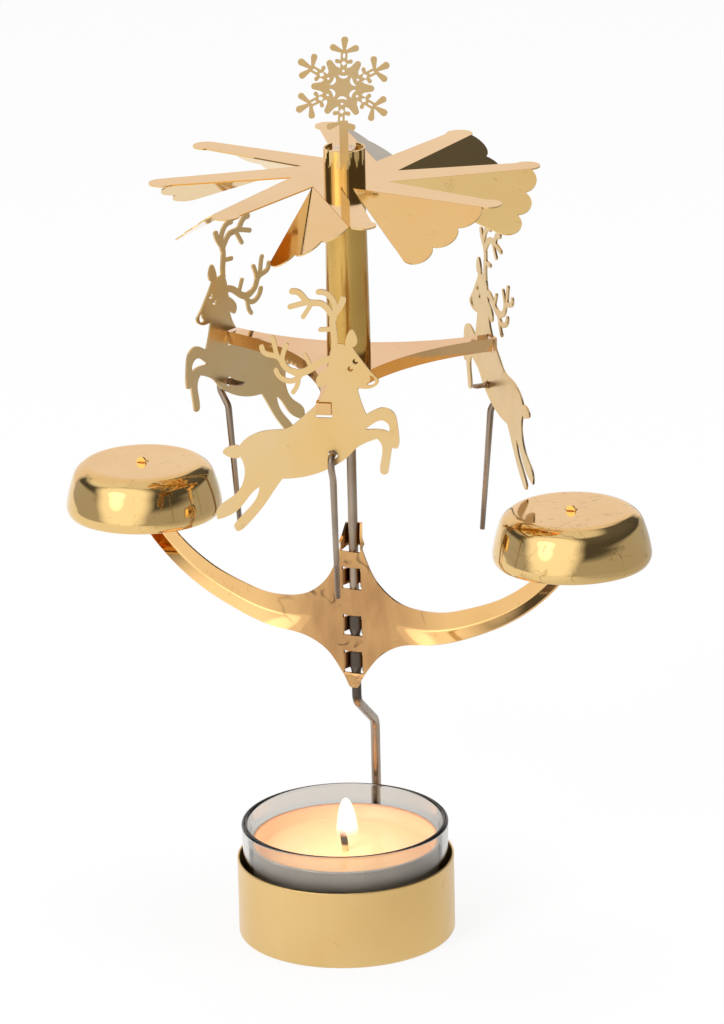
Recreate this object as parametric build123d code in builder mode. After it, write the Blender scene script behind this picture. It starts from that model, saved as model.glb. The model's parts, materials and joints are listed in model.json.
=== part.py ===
from build123d import *
import os
from math import atan2, cos, degrees, hypot, radians, sin

os.makedirs("parts", exist_ok=True)

# Driving dimensions, in millimetres.
# The origin is the middle of the base's underside. X runs along the two bell arms.

# Clearances shared by several pieces
seat_gap = 0.1        # under a loose piece that rests on another
side_gap = 0.05       # beside a piece that is held tight
overrun = 1.0         # how far a cut runs past the face it opens

# Tea light
light_diameter = 37.6
light_height = 14.5
light_wall = 0.2
light_rim_width = 0.35
light_rim_depth = 0.5
wax_below_rim = 1.9
pool_depth = 1.1
pool_margin = 2.2
sustainer_diameter = 12.0
sustainer_sheet = 0.2
sustainer_neck_wall = 0.5
sustainer_neck_height = 3.0
wick_diameter = 1.5
wick_above_pool = 3.9
wick_lean = -0.7

# Glass cup, sized round the tea light
glass_play = 0.3      # beside the tea light at its foot
glass_foot_wall = 0.9
glass_rim_wall = 1.2
glass_taper = 0.7     # how much the radius grows from foot to rim
glass_floor = 4.5
glass_above_light = 3.7
glass_foot_edge = 1.5
glass_lip_edge = 0.4

# Base cup, sized round the glass, and the rod's socket behind it
base_play = 0.55      # beside the glass cup's rim
base_wall = 0.4
base_height = 16.0
base_edge = 0.7
socket_wall = 0.8
socket_margin = 2.5   # from the base's edges to the socket's ends
saddle_sheet = 0.5
saddle_turn = 11.0

# Standing rod
rod_diameter = 1.9
rod_setback = 0.2     # between the base's wall and the rod behind it
rod_foot_turn = 6.5   # the foot's turn from the line square to the bell arms
axis_turn = 3.75      # the same for the upper rod
axis_setback = 8.93   # from the middle of the base to the upper rod
crank_above_glass = 12.9
crank_rise = 9.2
crank_bend = 3.0
needle_length = 3.2
needle_tip = 0.35
swage_width = 2.5
swage_depth = 1.2
swage_margin = 0.2    # from the rod's flattened lengths to the straps beside them

# Bell bracket
bracket_sheet = 0.5
bracket_above_crank = 2.9
arm_rise = 27.7       # from the middle of the bracket to the bells' seats
strap_inset = 0.35    # from the ends of each window to its strap
shoulder_width = 4.0
tab_width = 2.0

# Bells
bell_diameter = 31.3
bell_height = 10.2
# The bell's outline from the edge of its flat top to its mouth, as shares of its radius and height
bell_shares = [
    (0.680, 1.000), (0.754, 0.980), (0.805, 0.936), (0.856, 0.873), (0.895, 0.784),
    (0.933, 0.618), (0.965, 0.451), (0.987, 0.294), (1.000, 0.157), (0.994, 0.069), (0.971, 0.000),
]
bell_wall = 0.5
tab_play = 0.12       # between the arm's tab and the bell's hole
bell_spacing = 0.25   # beyond the circle on which the figures hang

# Reindeer
reindeer_length = 36.0
reindeer_sheet = 0.4
reindeer_radius = 30.0
reindeer_above_bells = 0.65
hole_below_slot = 10.6   # from the slot's top edge to the striker's hole
hole_beside_slot = 1.5
eye_radius = 0.55
pupil_radius = 0.32
pupil_offset = 0.24

# Strikers
striker_diameter = 1.35
striker_play = 0.275  # round the wire in the figure's hole
striker_drop = 30.0
crook_reach = 2.3
crook_drop = 2.2
crook_return = 0.3
crook_end = 5.2
striker_end_reach = -1.9
crook_bend = 1.1
return_bend = 2.0
hang_bend = 2.5
head_width = 2.8
head_length = 2.9
head_sheet = 0.45
head_corner = 0.8
head_clear = 0.5

# Spider under the reindeer
spider_sheet = 0.4
spider_flange = 2.6
spider_waist = 9.0
spider_arm_width = 3.2
spider_turn = 43.5
guide_play = 0.55     # round the rod, where it keeps the carousel upright
tab_shoulder = 0.15   # step from the arm's side to its narrower tab
tab_drop = 2.35
slot_gap = 0.15
slot_side_gap = 0.1
slot_play = 0.85      # spare height that lets the bent tab through
arm_count = 3

# Tube and hub
tube_foot_diameter = 8.7
tube_head_diameter = 7.9
tube_wall = 0.35
collar_step = 0.15    # how far the collar stands out from the tube's head
collar_wall = 0.35
collar_height = 5.4
collar_notch_turn = 76.0
collar_notch_depth = 1.2
cap_sheet = 0.5
cap_below_rim = 0.6
dimple_depth = 0.3
dimple_diameter = 1.4

# Rotor
antler_clearance = 5.85  # from the antlers up to the blades' lowest corners
rotor_sheet = 0.3
rotor_lip = 0.75      # how far the rotor's hole stands in from the tube
blade_count = 8
rotor_turn = 31.4
root_radius = 10.4
fold_radius = 36.2
fold_turn = 7.4       # from the blade's leading edge to its fold, at the tip
fold_angle = 33.0
ray_crown = 2.0       # how far the ray's round tip reaches past the fold's end
ray_tip_turn = 4.0
ray_shoulder = 2.4    # how far short of the fold's end the leading edge stops
scallop_count = 3
scallop_crown = 1.2
scallop_notch = 0.7
fan_corner_drop = 2.0
fan_edge_turn = 7.6

# Snowflake topper
snowflake_radius = 10.1
snowflake_sheet = 0.4
snowflake_lean = 3.7
snowflake_above_hub = 3.05
topper_turn = -67.0
stem_width = 1.7
stem_overlap = 1.15
stem_slant = 2.6
hook_width = 1.2
hook_drop = 0.7

# Radii and places worked out from the sizes above
rod_radius = rod_diameter / 2
glass_foot_radius = light_diameter / 2 + glass_play + glass_foot_wall
glass_rim_radius = glass_foot_radius + glass_taper
base_radius = glass_rim_radius + base_play + base_wall
glass_bottom = base_wall + seat_gap
light_bottom = glass_bottom + glass_floor + seat_gap
light_top = light_bottom + light_height
glass_top = light_top + glass_above_light
foot_reach = base_radius + rod_setback + rod_radius
foot_x = -foot_reach * sin(radians(rod_foot_turn))
foot_y = foot_reach * cos(radians(rod_foot_turn))
axis_x = -axis_setback * sin(radians(axis_turn))
axis_y = axis_setback * cos(radians(axis_turn))


def turned(radius, angle, height=0):
    """A point about the spindle, by its radius, angle and height."""
    return (axis_x + radius * cos(radians(angle)), axis_y + radius * sin(radians(angle)), height)


def radial_plane(radius, angle, height, sideways=0):
    """A plane that faces away from the spindle, with its y axis upright."""
    out = (cos(radians(angle)), sin(radians(angle)), 0)
    along = (-out[1], out[0], 0)
    x, y, z = turned(radius, angle, height)
    origin = (x + sideways * along[0], y + sideways * along[1], z)
    return Plane(origin=origin, x_dir=along, z_dir=out)


# Base cup, a drawn cup with a small edge at its foot
with BuildPart() as base_cup:
    Cylinder(base_radius, base_height, align=(Align.CENTER, Align.CENTER, Align.MIN))
    fillet(base_cup.edges().sort_by(Axis.Z)[0], base_edge)
    with Locations((0, 0, base_wall)):
        Cylinder(
            base_radius - base_wall,
            base_height,
            align=(Align.CENTER, Align.CENTER, Align.MIN),
            mode=Mode.SUBTRACT,
        )
base_cup.part.label = "base_cup"
export_step(base_cup.part, "parts/base_cup.step")

# Socket that holds the rod's foot behind the base, with a saddle that follows the wall
saddle_angle = 90 + rod_foot_turn
socket_height = base_height - 2 * socket_margin
with BuildPart() as rod_socket:
    with BuildSketch(Plane.XY.offset(socket_margin)):
        with Locations((foot_x, foot_y)):
            Circle(rod_radius + side_gap + socket_wall)
        with BuildLine():
            CenterArc(
                (0, 0), base_radius + saddle_sheet, saddle_angle - saddle_turn, 2 * saddle_turn
            )
            PolarLine((0, 0), base_radius + saddle_sheet, saddle_angle - saddle_turn)
            PolarLine((0, 0), base_radius + saddle_sheet, saddle_angle + saddle_turn)
        make_face()
        Circle(base_radius, mode=Mode.SUBTRACT)
    extrude(amount=socket_height)
    with Locations((foot_x, foot_y, socket_margin + socket_wall)):
        Cylinder(
            rod_radius + side_gap,
            socket_height,
            align=(Align.CENTER, Align.CENTER, Align.MIN),
            mode=Mode.SUBTRACT,
        )
rod_socket.part.label = "rod_socket"
export_step(rod_socket.part, "parts/rod_socket.step")

# Glass cup, a tapered tumbler with a thick floor
glass_floor_top = glass_bottom + glass_floor
with BuildPart() as glass_cup:
    with BuildSketch(Plane.XZ):
        with BuildLine():
            Polyline(
                (0, glass_bottom),
                (glass_foot_radius, glass_bottom),
                (glass_rim_radius, glass_top),
                (glass_rim_radius - glass_rim_wall, glass_top),
                (glass_foot_radius - glass_foot_wall, glass_floor_top),
                (0, glass_floor_top),
                close=True,
            )
        make_face()
    revolve(axis=Axis.Z)
    rims = glass_cup.edges().filter_by(GeomType.CIRCLE).group_by(Axis.Z)
    fillet(rims[-1], glass_lip_edge)
    fillet(rims[0], glass_foot_edge)
glass_cup.part.label = "glass_cup"
export_step(glass_cup.part, "parts/glass_cup.step")

# Aluminium cup of the tea light, with its rolled rim
with BuildPart() as tealight_cup:
    with Locations((0, 0, light_bottom)):
        Cylinder(
            light_diameter / 2 - light_rim_width,
            light_height,
            align=(Align.CENTER, Align.CENTER, Align.MIN),
        )
    with Locations((0, 0, light_top - light_rim_depth)):
        Cylinder(
            light_diameter / 2,
            light_rim_depth,
            align=(Align.CENTER, Align.CENTER, Align.MIN),
        )
    with Locations((0, 0, light_bottom + light_wall)):
        Cylinder(
            light_diameter / 2 - light_rim_width - light_wall,
            light_height,
            align=(Align.CENTER, Align.CENTER, Align.MIN),
            mode=Mode.SUBTRACT,
        )
tealight_cup.part.label = "tealight_cup"
export_step(tealight_cup.part, "parts/tealight_cup.step")

# Wick sustainer, a tin disc with a neck that grips the wick
sustainer_bottom = light_bottom + light_wall
neck_radius = wick_diameter / 2 + sustainer_neck_wall
with BuildPart() as wick_sustainer:
    with Locations((0, 0, sustainer_bottom)):
        Cylinder(
            sustainer_diameter / 2,
            sustainer_sheet,
            align=(Align.CENTER, Align.CENTER, Align.MIN),
        )
        Cylinder(
            neck_radius,
            sustainer_neck_height,
            align=(Align.CENTER, Align.CENTER, Align.MIN),
        )
    with Locations((0, 0, sustainer_bottom + sustainer_sheet)):
        Cylinder(
            wick_diameter / 2,
            sustainer_neck_height,
            align=(Align.CENTER, Align.CENTER, Align.MIN),
            mode=Mode.SUBTRACT,
        )
wick_sustainer.part.label = "wick_sustainer"
export_step(wick_sustainer.part, "parts/wick_sustainer.step")

# Wax with its melted pool, moulded round the sustainer and the wick
wax_radius = light_diameter / 2 - light_rim_width - light_wall
wax_depth = light_height - light_wall - wax_below_rim
pool_level = light_top - wax_below_rim - pool_depth
with BuildPart() as wax:
    with Locations((0, 0, sustainer_bottom)):
        Cylinder(wax_radius, wax_depth, align=(Align.CENTER, Align.CENTER, Align.MIN))
        Cylinder(
            wick_diameter / 2,
            wax_depth,
            align=(Align.CENTER, Align.CENTER, Align.MIN),
            mode=Mode.SUBTRACT,
        )
        Cylinder(
            sustainer_diameter / 2,
            sustainer_sheet,
            align=(Align.CENTER, Align.CENTER, Align.MIN),
            mode=Mode.SUBTRACT,
        )
        Cylinder(
            neck_radius,
            sustainer_neck_height,
            align=(Align.CENTER, Align.CENTER, Align.MIN),
            mode=Mode.SUBTRACT,
        )
    with Locations((0, 0, pool_level)):
        Cylinder(
            wax_radius - pool_margin,
            wax_depth,
            align=(Align.CENTER, Align.CENTER, Align.MIN),
            mode=Mode.SUBTRACT,
        )
wax.part.label = "wax"
export_step(wax.part, "parts/wax.step")

# Wick, upright in the wax and leaning over above the pool
wick_foot = sustainer_bottom + sustainer_sheet
with BuildPart() as wick:
    with BuildLine() as wick_line:
        FilletPolyline(
            (0, 0, wick_foot),
            (0, 0, pool_level + wick_diameter),
            (wick_lean, 0, pool_level + wick_above_pool),
            radius=2 * wick_diameter,
        )
    with BuildSketch(Plane(origin=(0, 0, wick_foot), z_dir=(0, 0, 1))):
        Circle(wick_diameter / 2)
    sweep(path=wick_line.wires()[0])
wick.part.label = "wick"
export_step(wick.part, "parts/wick.step")

# Heights up the rod, each from the piece that it has to clear
arm_upper_shares = [
    (0.030, 0.744),
    (0.057, 0.542),
    (0.120, 0.318),
    (0.229, 0.177),
    (0.386, 0.141),
    (0.523, 0.191),
    (0.686, 0.303),
    (0.839, 0.498),
    (0.919, 0.704),
]
arm_lower_shares = [
    (0.020, -0.495),
    (0.057, -0.375),
    (0.131, -0.224),
    (0.229, -0.137),
    (0.386, -0.101),
    (0.523, -0.032),
    (0.719, 0.123),
    (0.882, 0.336),
    (0.991, 0.578),
]
strap_shares = [(0.426, 0.545), (0.060, 0.260), (-0.215, -0.095), (-0.495, -0.385)]
crank_low = glass_top + crank_above_glass
crank_high = crank_low + crank_rise
bracket_root = crank_high + bracket_above_crank - arm_lower_shares[0][1] * arm_rise
shoulder_height = bracket_root + arm_rise
bell_top = shoulder_height + seat_gap + bell_wall

# Blade geometry, measured along the fold of a flat blade and across it
blade_step = 360 / blade_count
crease_start = Vector(root_radius, 0)
crease_end = Vector(fold_radius, 0).rotate(Axis.Z, blade_step - fold_turn)
crease = (crease_end - crease_start).normalized()
across = crease.rotate(Axis.Z, -90)


def on_fan(radius, angle):
    """A point of the flat blade, measured along the crease and across it."""
    point = Vector(radius, 0).rotate(Axis.Z, angle) - crease_start
    return (point.dot(crease), point.dot(across))


# Heights of the carousel, from the figures over the bells to the top of the hub
figure_share = 36     # the figure's length in the units of its outline
hoof_share = 16.2
antler_share = 33.2
figure_unit = reindeer_length / figure_share
hole_height = bell_top + reindeer_above_bells + hoof_share * figure_unit
slot_top = hole_height + hole_below_slot
spider_top = slot_top - slot_gap
fan_corner = on_fan(fold_radius - fan_corner_drop, fan_edge_turn)
fan_depth = fan_corner[1] * sin(radians(fold_angle))
rotor_middle = hole_height + antler_share * figure_unit + antler_clearance + fan_depth
rotor_bottom = rotor_middle - rotor_sheet / 2
rotor_top = rotor_middle + rotor_sheet / 2
collar_top = rotor_top + collar_height
collar_radius = tube_head_diameter / 2 + collar_step
cap_bottom = collar_top - cap_below_rim - cap_sheet
needle_top = cap_bottom + dimple_depth - seat_gap

# Standing rod: up behind the base, cranked over the glass, then upright to a needle point,
# with a flattened length between the lower straps of the bracket
rod_bottom = socket_margin + socket_wall
swage_shares = [(strap_shares[2][1], strap_shares[1][0]), (strap_shares[3][1], strap_shares[2][0])]
with BuildPart() as stand_rod:
    with BuildLine() as rod_line:
        FilletPolyline(
            (foot_x, foot_y, rod_bottom),
            (foot_x, foot_y, crank_low),
            (axis_x, axis_y, crank_high),
            (axis_x, axis_y, needle_top - needle_length),
            radius=crank_bend,
        )
    with BuildSketch(Plane(origin=(foot_x, foot_y, rod_bottom), z_dir=(0, 0, 1))):
        Circle(rod_radius)
    sweep(path=rod_line.wires()[0])
    with Locations((axis_x, axis_y, needle_top - needle_length)):
        Cone(
            rod_radius,
            needle_tip / 2,
            needle_length,
            align=(Align.CENTER, Align.CENTER, Align.MIN),
        )
    for low_share, high_share in swage_shares:
        swage_height = (high_share - low_share) * arm_rise + 2 * (strap_inset - swage_margin)
        with Locations((axis_x, axis_y, bracket_root + (low_share + high_share) / 2 * arm_rise)):
            Box(swage_width, swage_depth, swage_height)
stand_rod.part.label = "stand_rod"
export_step(stand_rod.part, "parts/stand_rod.step")

# Bell bracket: one stamped sheet behind the rod, a four-pointed star whose side points
# run out and up to the bells. Straps pressed out of the sheet pass in front of the rod.
bell_reach = reindeer_radius + bell_diameter / 2 + bell_spacing
strap_bore = rod_radius + side_gap
strap_outer = strap_bore + bracket_sheet
bracket_offset = strap_bore + bracket_sheet / 2
bell_y = axis_y + bracket_offset
bracket_plane = Plane(origin=(axis_x, bell_y, bracket_root), x_dir=(1, 0, 0), z_dir=(0, -1, 0))
with BuildPart() as bell_bracket:
    with BuildSketch(bracket_plane):
        for side in (1, -1):
            upper = [(side * x * bell_reach, z * arm_rise) for x, z in arm_upper_shares]
            lower = [(side * x * bell_reach, z * arm_rise) for x, z in arm_lower_shares]
            upper.append((side * (bell_reach - shoulder_width / 2), arm_rise))
            lower.append((side * (bell_reach + shoulder_width / 2), arm_rise))
            with BuildLine():
                Spline(*upper)
                Line(upper[-1], lower[-1])
                Spline(*lower)
                Polyline(upper[0], (0, upper[0][1]), (0, lower[0][1]), lower[0])
            make_face()
            with Locations((side * bell_reach, arm_rise)):
                Rectangle(
                    tab_width, bell_wall + seat_gap, align=(Align.CENTER, Align.MIN)
                )
    extrude(amount=bracket_sheet / 2, both=True)
    for low_share, high_share in strap_shares:
        window_low = bracket_root + low_share * arm_rise
        window_height = (high_share - low_share) * arm_rise
        with Locations((axis_x, bell_y, window_low)):
            Box(
                2 * strap_outer - bracket_sheet / 2,
                2 * bracket_sheet,
                window_height,
                align=(Align.CENTER, Align.CENTER, Align.MIN),
                mode=Mode.SUBTRACT,
            )
        with BuildSketch(Plane.XY.offset(window_low + strap_inset)):
            with Locations((axis_x, axis_y)):
                Circle(strap_outer)
                Rectangle(2 * strap_outer, strap_outer, align=(Align.CENTER, Align.MIN))
                Circle(strap_bore, mode=Mode.SUBTRACT)
                Rectangle(
                    2 * strap_bore,
                    strap_outer,
                    align=(Align.CENTER, Align.MIN),
                    mode=Mode.SUBTRACT,
                )
        extrude(amount=window_height - 2 * strap_inset)
bell_bracket.part.label = "bell_bracket"
export_step(bell_bracket.part, "parts/bell_bracket.step")


def bell_profile(inset):
    """Half the bell's outline from the axis to its mouth, drawn smaller by inset."""
    radius = bell_diameter / 2 - inset
    height = bell_height - inset
    mouth_level = bell_top - bell_height
    dome = [(x * radius, mouth_level + z * height) for x, z in bell_shares]
    with BuildSketch() as profile:
        with BuildLine():
            Line((0, mouth_level + height), dome[0])
            Spline(dome)
            Polyline(dome[-1], (0, mouth_level), (0, mouth_level + height))
        make_face()
    return profile.sketch


bell_hole = hypot(tab_width, bracket_sheet) + 2 * tab_play
bell_outside = bell_profile(0)
bell_inside = bell_profile(bell_wall)

# Bells, spun domes with a hole that drops over the arm's tab
for side, name in ((-1, "bell_left"), (1, "bell_right")):
    bell_x = axis_x + side * bell_reach
    bell_axis = Axis((bell_x, bell_y, 0), (0, 0, 1))
    bell_plane = Plane(origin=(bell_x, bell_y, 0), x_dir=(1, 0, 0), z_dir=(0, -1, 0))
    with BuildPart() as bell:
        with BuildSketch(bell_plane):
            add(bell_outside)
        revolve(axis=bell_axis)
        with BuildSketch(bell_plane):
            add(bell_inside)
        revolve(axis=bell_axis, mode=Mode.SUBTRACT)
        with Locations((bell_x, bell_y, bell_top)):
            Cylinder(bell_hole / 2, 2 * overrun, mode=Mode.SUBTRACT)
    bell.part.label = name
    export_step(bell.part, "parts/" + name + ".step")


def spider_star(inset, reach):
    """Three-pointed star with concave sides, drawn in by inset and out to reach."""
    half = spider_arm_width / 2 - inset
    corner_turn = degrees(atan2(half, reach))
    corner_radius = hypot(half, reach)
    step = 360 / arm_count
    with BuildSketch() as star:
        with BuildLine():
            for arm in range(arm_count):
                angle = spider_turn + arm * step
                before = turned(corner_radius, angle - corner_turn)
                after = turned(corner_radius, angle + corner_turn)
                onward = turned(corner_radius, angle + step - corner_turn)
                Line(before[:2], after[:2])
                waist = turned(spider_waist - inset, angle + step / 2)
                ThreePointArc(after[:2], waist[:2], onward[:2])
        make_face()
    return star.sketch


# Spider: a star of sheet with its sides folded down, and a tab at the end of each arm
# that passes through a reindeer and is bent down outside it
spider_bottom = spider_top - spider_sheet
tab_width_out = spider_arm_width - 2 * tab_shoulder
arm_end = reindeer_radius - reindeer_sheet / 2 - seat_gap
tab_inner = reindeer_radius + reindeer_sheet / 2 + seat_gap
tab_outer = tab_inner + spider_sheet
star_outside = spider_star(0, arm_end)
star_inside = spider_star(spider_sheet, arm_end + overrun)
with BuildPart() as spider:
    with BuildSketch(Plane.XY.offset(spider_top)):
        add(star_outside)
    extrude(amount=-spider_flange)
    with BuildSketch(Plane.XY.offset(spider_bottom)):
        add(star_inside)
    extrude(amount=-spider_flange, mode=Mode.SUBTRACT)
    for arm in range(arm_count):
        angle = spider_turn + arm * 360 / arm_count
        with BuildSketch(radial_plane(arm_end - overrun, angle, spider_top)):
            Rectangle(tab_width_out, spider_sheet, align=(Align.CENTER, Align.MAX))
        extrude(amount=tab_outer - arm_end + overrun)
        with BuildSketch(radial_plane(tab_inner, angle, spider_top)):
            Rectangle(tab_width_out, tab_drop, align=(Align.CENTER, Align.MAX))
        extrude(amount=spider_sheet)
    with Locations((axis_x, axis_y, spider_top)):
        Cylinder(rod_radius + guide_play, 2 * overrun, mode=Mode.SUBTRACT)
spider.part.label = "spider"
export_step(spider.part, "parts/spider.step")

# Tapered tube between the spider and the rotor
tube_length = rotor_bottom - spider_top
with BuildPart() as spindle_tube:
    with Locations((axis_x, axis_y, spider_top)):
        Cone(
            tube_foot_diameter / 2,
            tube_head_diameter / 2,
            tube_length,
            align=(Align.CENTER, Align.CENTER, Align.MIN),
        )
        Cone(
            tube_foot_diameter / 2 - tube_wall,
            tube_head_diameter / 2 - tube_wall,
            tube_length,
            align=(Align.CENTER, Align.CENTER, Align.MIN),
            mode=Mode.SUBTRACT,
        )
spindle_tube.part.label = "spindle_tube"
export_step(spindle_tube.part, "parts/spindle_tube.step")

# Hub collar on top of the rotor, its rim cut away behind
with BuildPart() as hub_collar:
    with Locations((axis_x, axis_y, rotor_top)):
        Cylinder(
            collar_radius,
            collar_height,
            align=(Align.CENTER, Align.CENTER, Align.MIN),
        )
        Cylinder(
            collar_radius - collar_wall,
            collar_height,
            align=(Align.CENTER, Align.CENTER, Align.MIN),
            mode=Mode.SUBTRACT,
        )
    with BuildSketch(Plane.XY.offset(collar_top)):
        notch_start = topper_turn + 180 - collar_notch_turn / 2
        notch_end = notch_start + collar_notch_turn
        with BuildLine():
            Polyline(
                (axis_x, axis_y),
                turned(2 * collar_radius, notch_start)[:2],
                turned(2 * collar_radius, notch_end)[:2],
                close=True,
            )
        make_face()
    extrude(amount=-collar_notch_depth, mode=Mode.SUBTRACT)
hub_collar.part.label = "hub_collar"
export_step(hub_collar.part, "parts/hub_collar.step")

# Bearing cap inside the collar, dimpled underneath for the rod's point
cap_radius = collar_radius - collar_wall - side_gap
with BuildPart() as pivot_cap:
    with Locations((axis_x, axis_y, cap_bottom)):
        Cylinder(cap_radius, cap_sheet, align=(Align.CENTER, Align.CENTER, Align.MIN))
        Cone(
            dimple_diameter / 2,
            needle_tip,
            dimple_depth,
            align=(Align.CENTER, Align.CENTER, Align.MIN),
            mode=Mode.SUBTRACT,
        )
pivot_cap.part.label = "pivot_cap"
export_step(pivot_cap.part, "parts/pivot_cap.step")

# Rotor: a disc slit into blades. Each blade keeps a flat ray beside its leading edge,
# and the rest of it, with a scalloped end, is folded down along a straight crease.
with BuildPart() as rotor:
    with Locations((axis_x, axis_y, rotor_middle)):
        Cylinder(root_radius, rotor_sheet)
    for blade in range(blade_count):
        lead = rotor_turn + blade * blade_step
        trail = lead - blade_step
        fold_tip = turned(fold_radius, lead - fold_turn)[:2]
        with BuildSketch(Plane.XY.offset(rotor_bottom)):
            with BuildLine():
                Line(turned(root_radius, trail)[:2], fold_tip)
                ThreePointArc(
                    fold_tip,
                    turned(fold_radius + ray_crown, lead - ray_tip_turn)[:2],
                    turned(fold_radius - ray_shoulder, lead)[:2],
                )
                Polyline(
                    turned(fold_radius - ray_shoulder, lead)[:2],
                    turned(root_radius, lead)[:2],
                    turned(root_radius, trail)[:2],
                )
            make_face()
        extrude(amount=rotor_sheet)
        along_crease = crease.rotate(Axis.Z, trail)
        fan_normal = Vector(0, 0, -1).rotate(Axis((0, 0, 0), tuple(along_crease)), fold_angle)
        fan_plane = Plane(
            origin=turned(root_radius, trail, rotor_middle), x_dir=along_crease, z_dir=fan_normal
        )
        scallop_turn = (blade_step - fold_turn - fan_edge_turn) / scallop_count
        with BuildSketch(fan_plane):
            with BuildLine():
                Line((0, 0), fan_corner)
                start = fan_corner
                for scallop in range(scallop_count):
                    turn = fan_edge_turn + scallop * scallop_turn
                    last = scallop == scallop_count - 1
                    end_radius = fold_radius if last else fold_radius - scallop_notch
                    end = on_fan(end_radius, turn + scallop_turn)
                    peak = on_fan(fold_radius + scallop_crown, turn + scallop_turn / 2)
                    ThreePointArc(start, peak, end)
                    start = end
                Line(start, (0, 0))
            make_face()
        extrude(amount=rotor_sheet / 2, both=True)
    with Locations((axis_x, axis_y, rotor_middle)):
        Cylinder(tube_head_diameter / 2 - rotor_lip, 2 * overrun, mode=Mode.SUBTRACT)
rotor.part.label = "rotor"
export_step(rotor.part, "parts/rotor.step")

# Reindeer. Points are thirty-sixths of the figure's length, from the striker's hole,
# and each run of points is one smooth stretch of the outline.
body_shares = [
    [(3.0, 22.0), (3.2, 23.8), (4.3, 25.3), (5.0, 24.4), (4.3, 21.8)],
    [(4.3, 21.8), (6.2, 19.0), (8.4, 16.3), (9.3, 15.0), (8.3, 13.9), (6.4, 13.5), (5.1, 13.6)],
    [(5.1, 13.6), (5.5, 11.8), (6.7, 8.3)],
    [(6.7, 8.3), (8.4, 9.3), (10.2, 9.8), (11.8, 9.1), (12.8, 6.0), (12.2, 1.6), (11.6, 1.8)],
    [(11.6, 1.8), (11.2, -0.6), (10.8, -3.0)],
    [(10.8, -3.0), (10.2, -3.7), (9.4, -3.5), (9.2, -2.8)],
    [(9.2, -2.8), (9.6, 0.2), (9.6, 2.2), (8.7, 3.5)],
    [(8.7, 3.5), (6.5, 2.6), (4.7, 1.5), (3.0, -0.3), (1.2, -1.7), (-3.1, -3.9), (-9.9, -5.2)],
    [(-9.9, -5.2), (-13.7, -10.8), (-16.4, -14.1), (-19.2, -16.1), (-19.7, -15.0)],
    [(-19.7, -15.0), (-18.4, -13.3), (-16.3, -11.0), (-14.5, -7.0)],
    [(-14.5, -7.0), (-15.9, -8.2), (-18.4, -11.4), (-21.3, -13.4), (-22.9, -13.9)],
    [(-22.9, -13.9), (-22.9, -11.9), (-19.3, -8.7), (-17.3, -4.2), (-18.1, -1.0)],
    [(-18.1, -1.0), (-20.3, -1.1), (-21.5, -0.1), (-20.5, 0.9), (-18.3, 1.1)],
    [(-18.3, 1.1), (-15.6, 3.5), (-12.0, 4.6), (-8.7, 5.1), (-5.9, 7.3), (-3.3, 9.7), (-0.7, 14.6)],
    [(-0.7, 14.6), (-1.4, 13.9), (-2.3, 13.6), (-2.9, 14.6), (-2.2, 16.2), (-0.7, 17.4)],
    [(-0.7, 17.4), (-0.2, 19.6), (0.2, 21.3), (1.4, 22.3), (3.0, 22.0)],
]
leg_gap_shares = [
    [(6.5, 5.3), (8.1, 6.6), (9.9, 7.2), (10.9, 6.5), (11.0, 4.9)],
    [(11.0, 4.9), (9.5, 5.4), (8.1, 5.4), (6.5, 5.3)],
]
muzzle_shares = [
    [(7.5, 16.2), (8.5, 15.4), (8.4, 14.6), (7.7, 14.2), (6.9, 14.5)],
    [(6.9, 14.5), (7.6, 15.2), (7.5, 16.2)],
]
antler_shares = [
    (1.2, [(0.8, 21.8), (0.7, 25.0), (0.8, 27.9), (1.8, 29.4), (2.7, 31.3)]),
    (1.2, [(0.8, 27.6), (-0.2, 29.1), (-1.6, 30.3), (-4.2, 30.6), (-5.4, 32.0), (-7.1, 32.6)]),
    (1.0, [(-4.1, 30.5), (-5.6, 30.1), (-7.6, 29.5)]),
    (0.9, [(-3.4, 30.3), (-4.2, 29.0), (-5.1, 27.6)]),
    (1.1, [(1.2, 29.2), (0.9, 30.6), (0.1, 31.9), (-2.0, 32.6)]),
    (0.9, [(0.8, 25.3), (-0.6, 25.2), (-1.8, 25.1)]),
    (1.4, [(0.8, 19.0), (-1.6, 18.8), (-3.4, 17.6), (-5.2, 16.5), (-7.2, 16.5)]),
    (1.2, [(-7.2, 16.5), (-8.8, 17.4), (-9.5, 18.9)]),
    (0.9, [(-9.4, 18.6), (-9.1, 20.4), (-8.5, 21.8)]),
    (0.9, [(-9.6, 18.7), (-10.5, 20.2), (-10.8, 21.8), (-11.2, 23.2)]),
    (1.0, [(-9.6, 18.7), (-10.8, 19.6), (-12.3, 19.9), (-13.3, 21.3)]),
    (0.8, [(-3.9, 17.6), (-4.4, 18.8), (-4.9, 19.9)]),
    (1.0, [(-5.5, 16.4), (-6.4, 15.3), (-7.8, 14.6), (-9.2, 14.9), (-10.6, 16.7)]),
    (0.9, [(-6.4, 15.4), (-6.6, 13.8), (-7.4, 12.4)]),
]
eye_shares = [(4.8, 18.9), (3.8, 17.4)]


def figure_points(shares):
    """Points of the figure in millimetres from the striker's hole."""
    return [(x * figure_unit, y * figure_unit) for x, y in shares]


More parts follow.
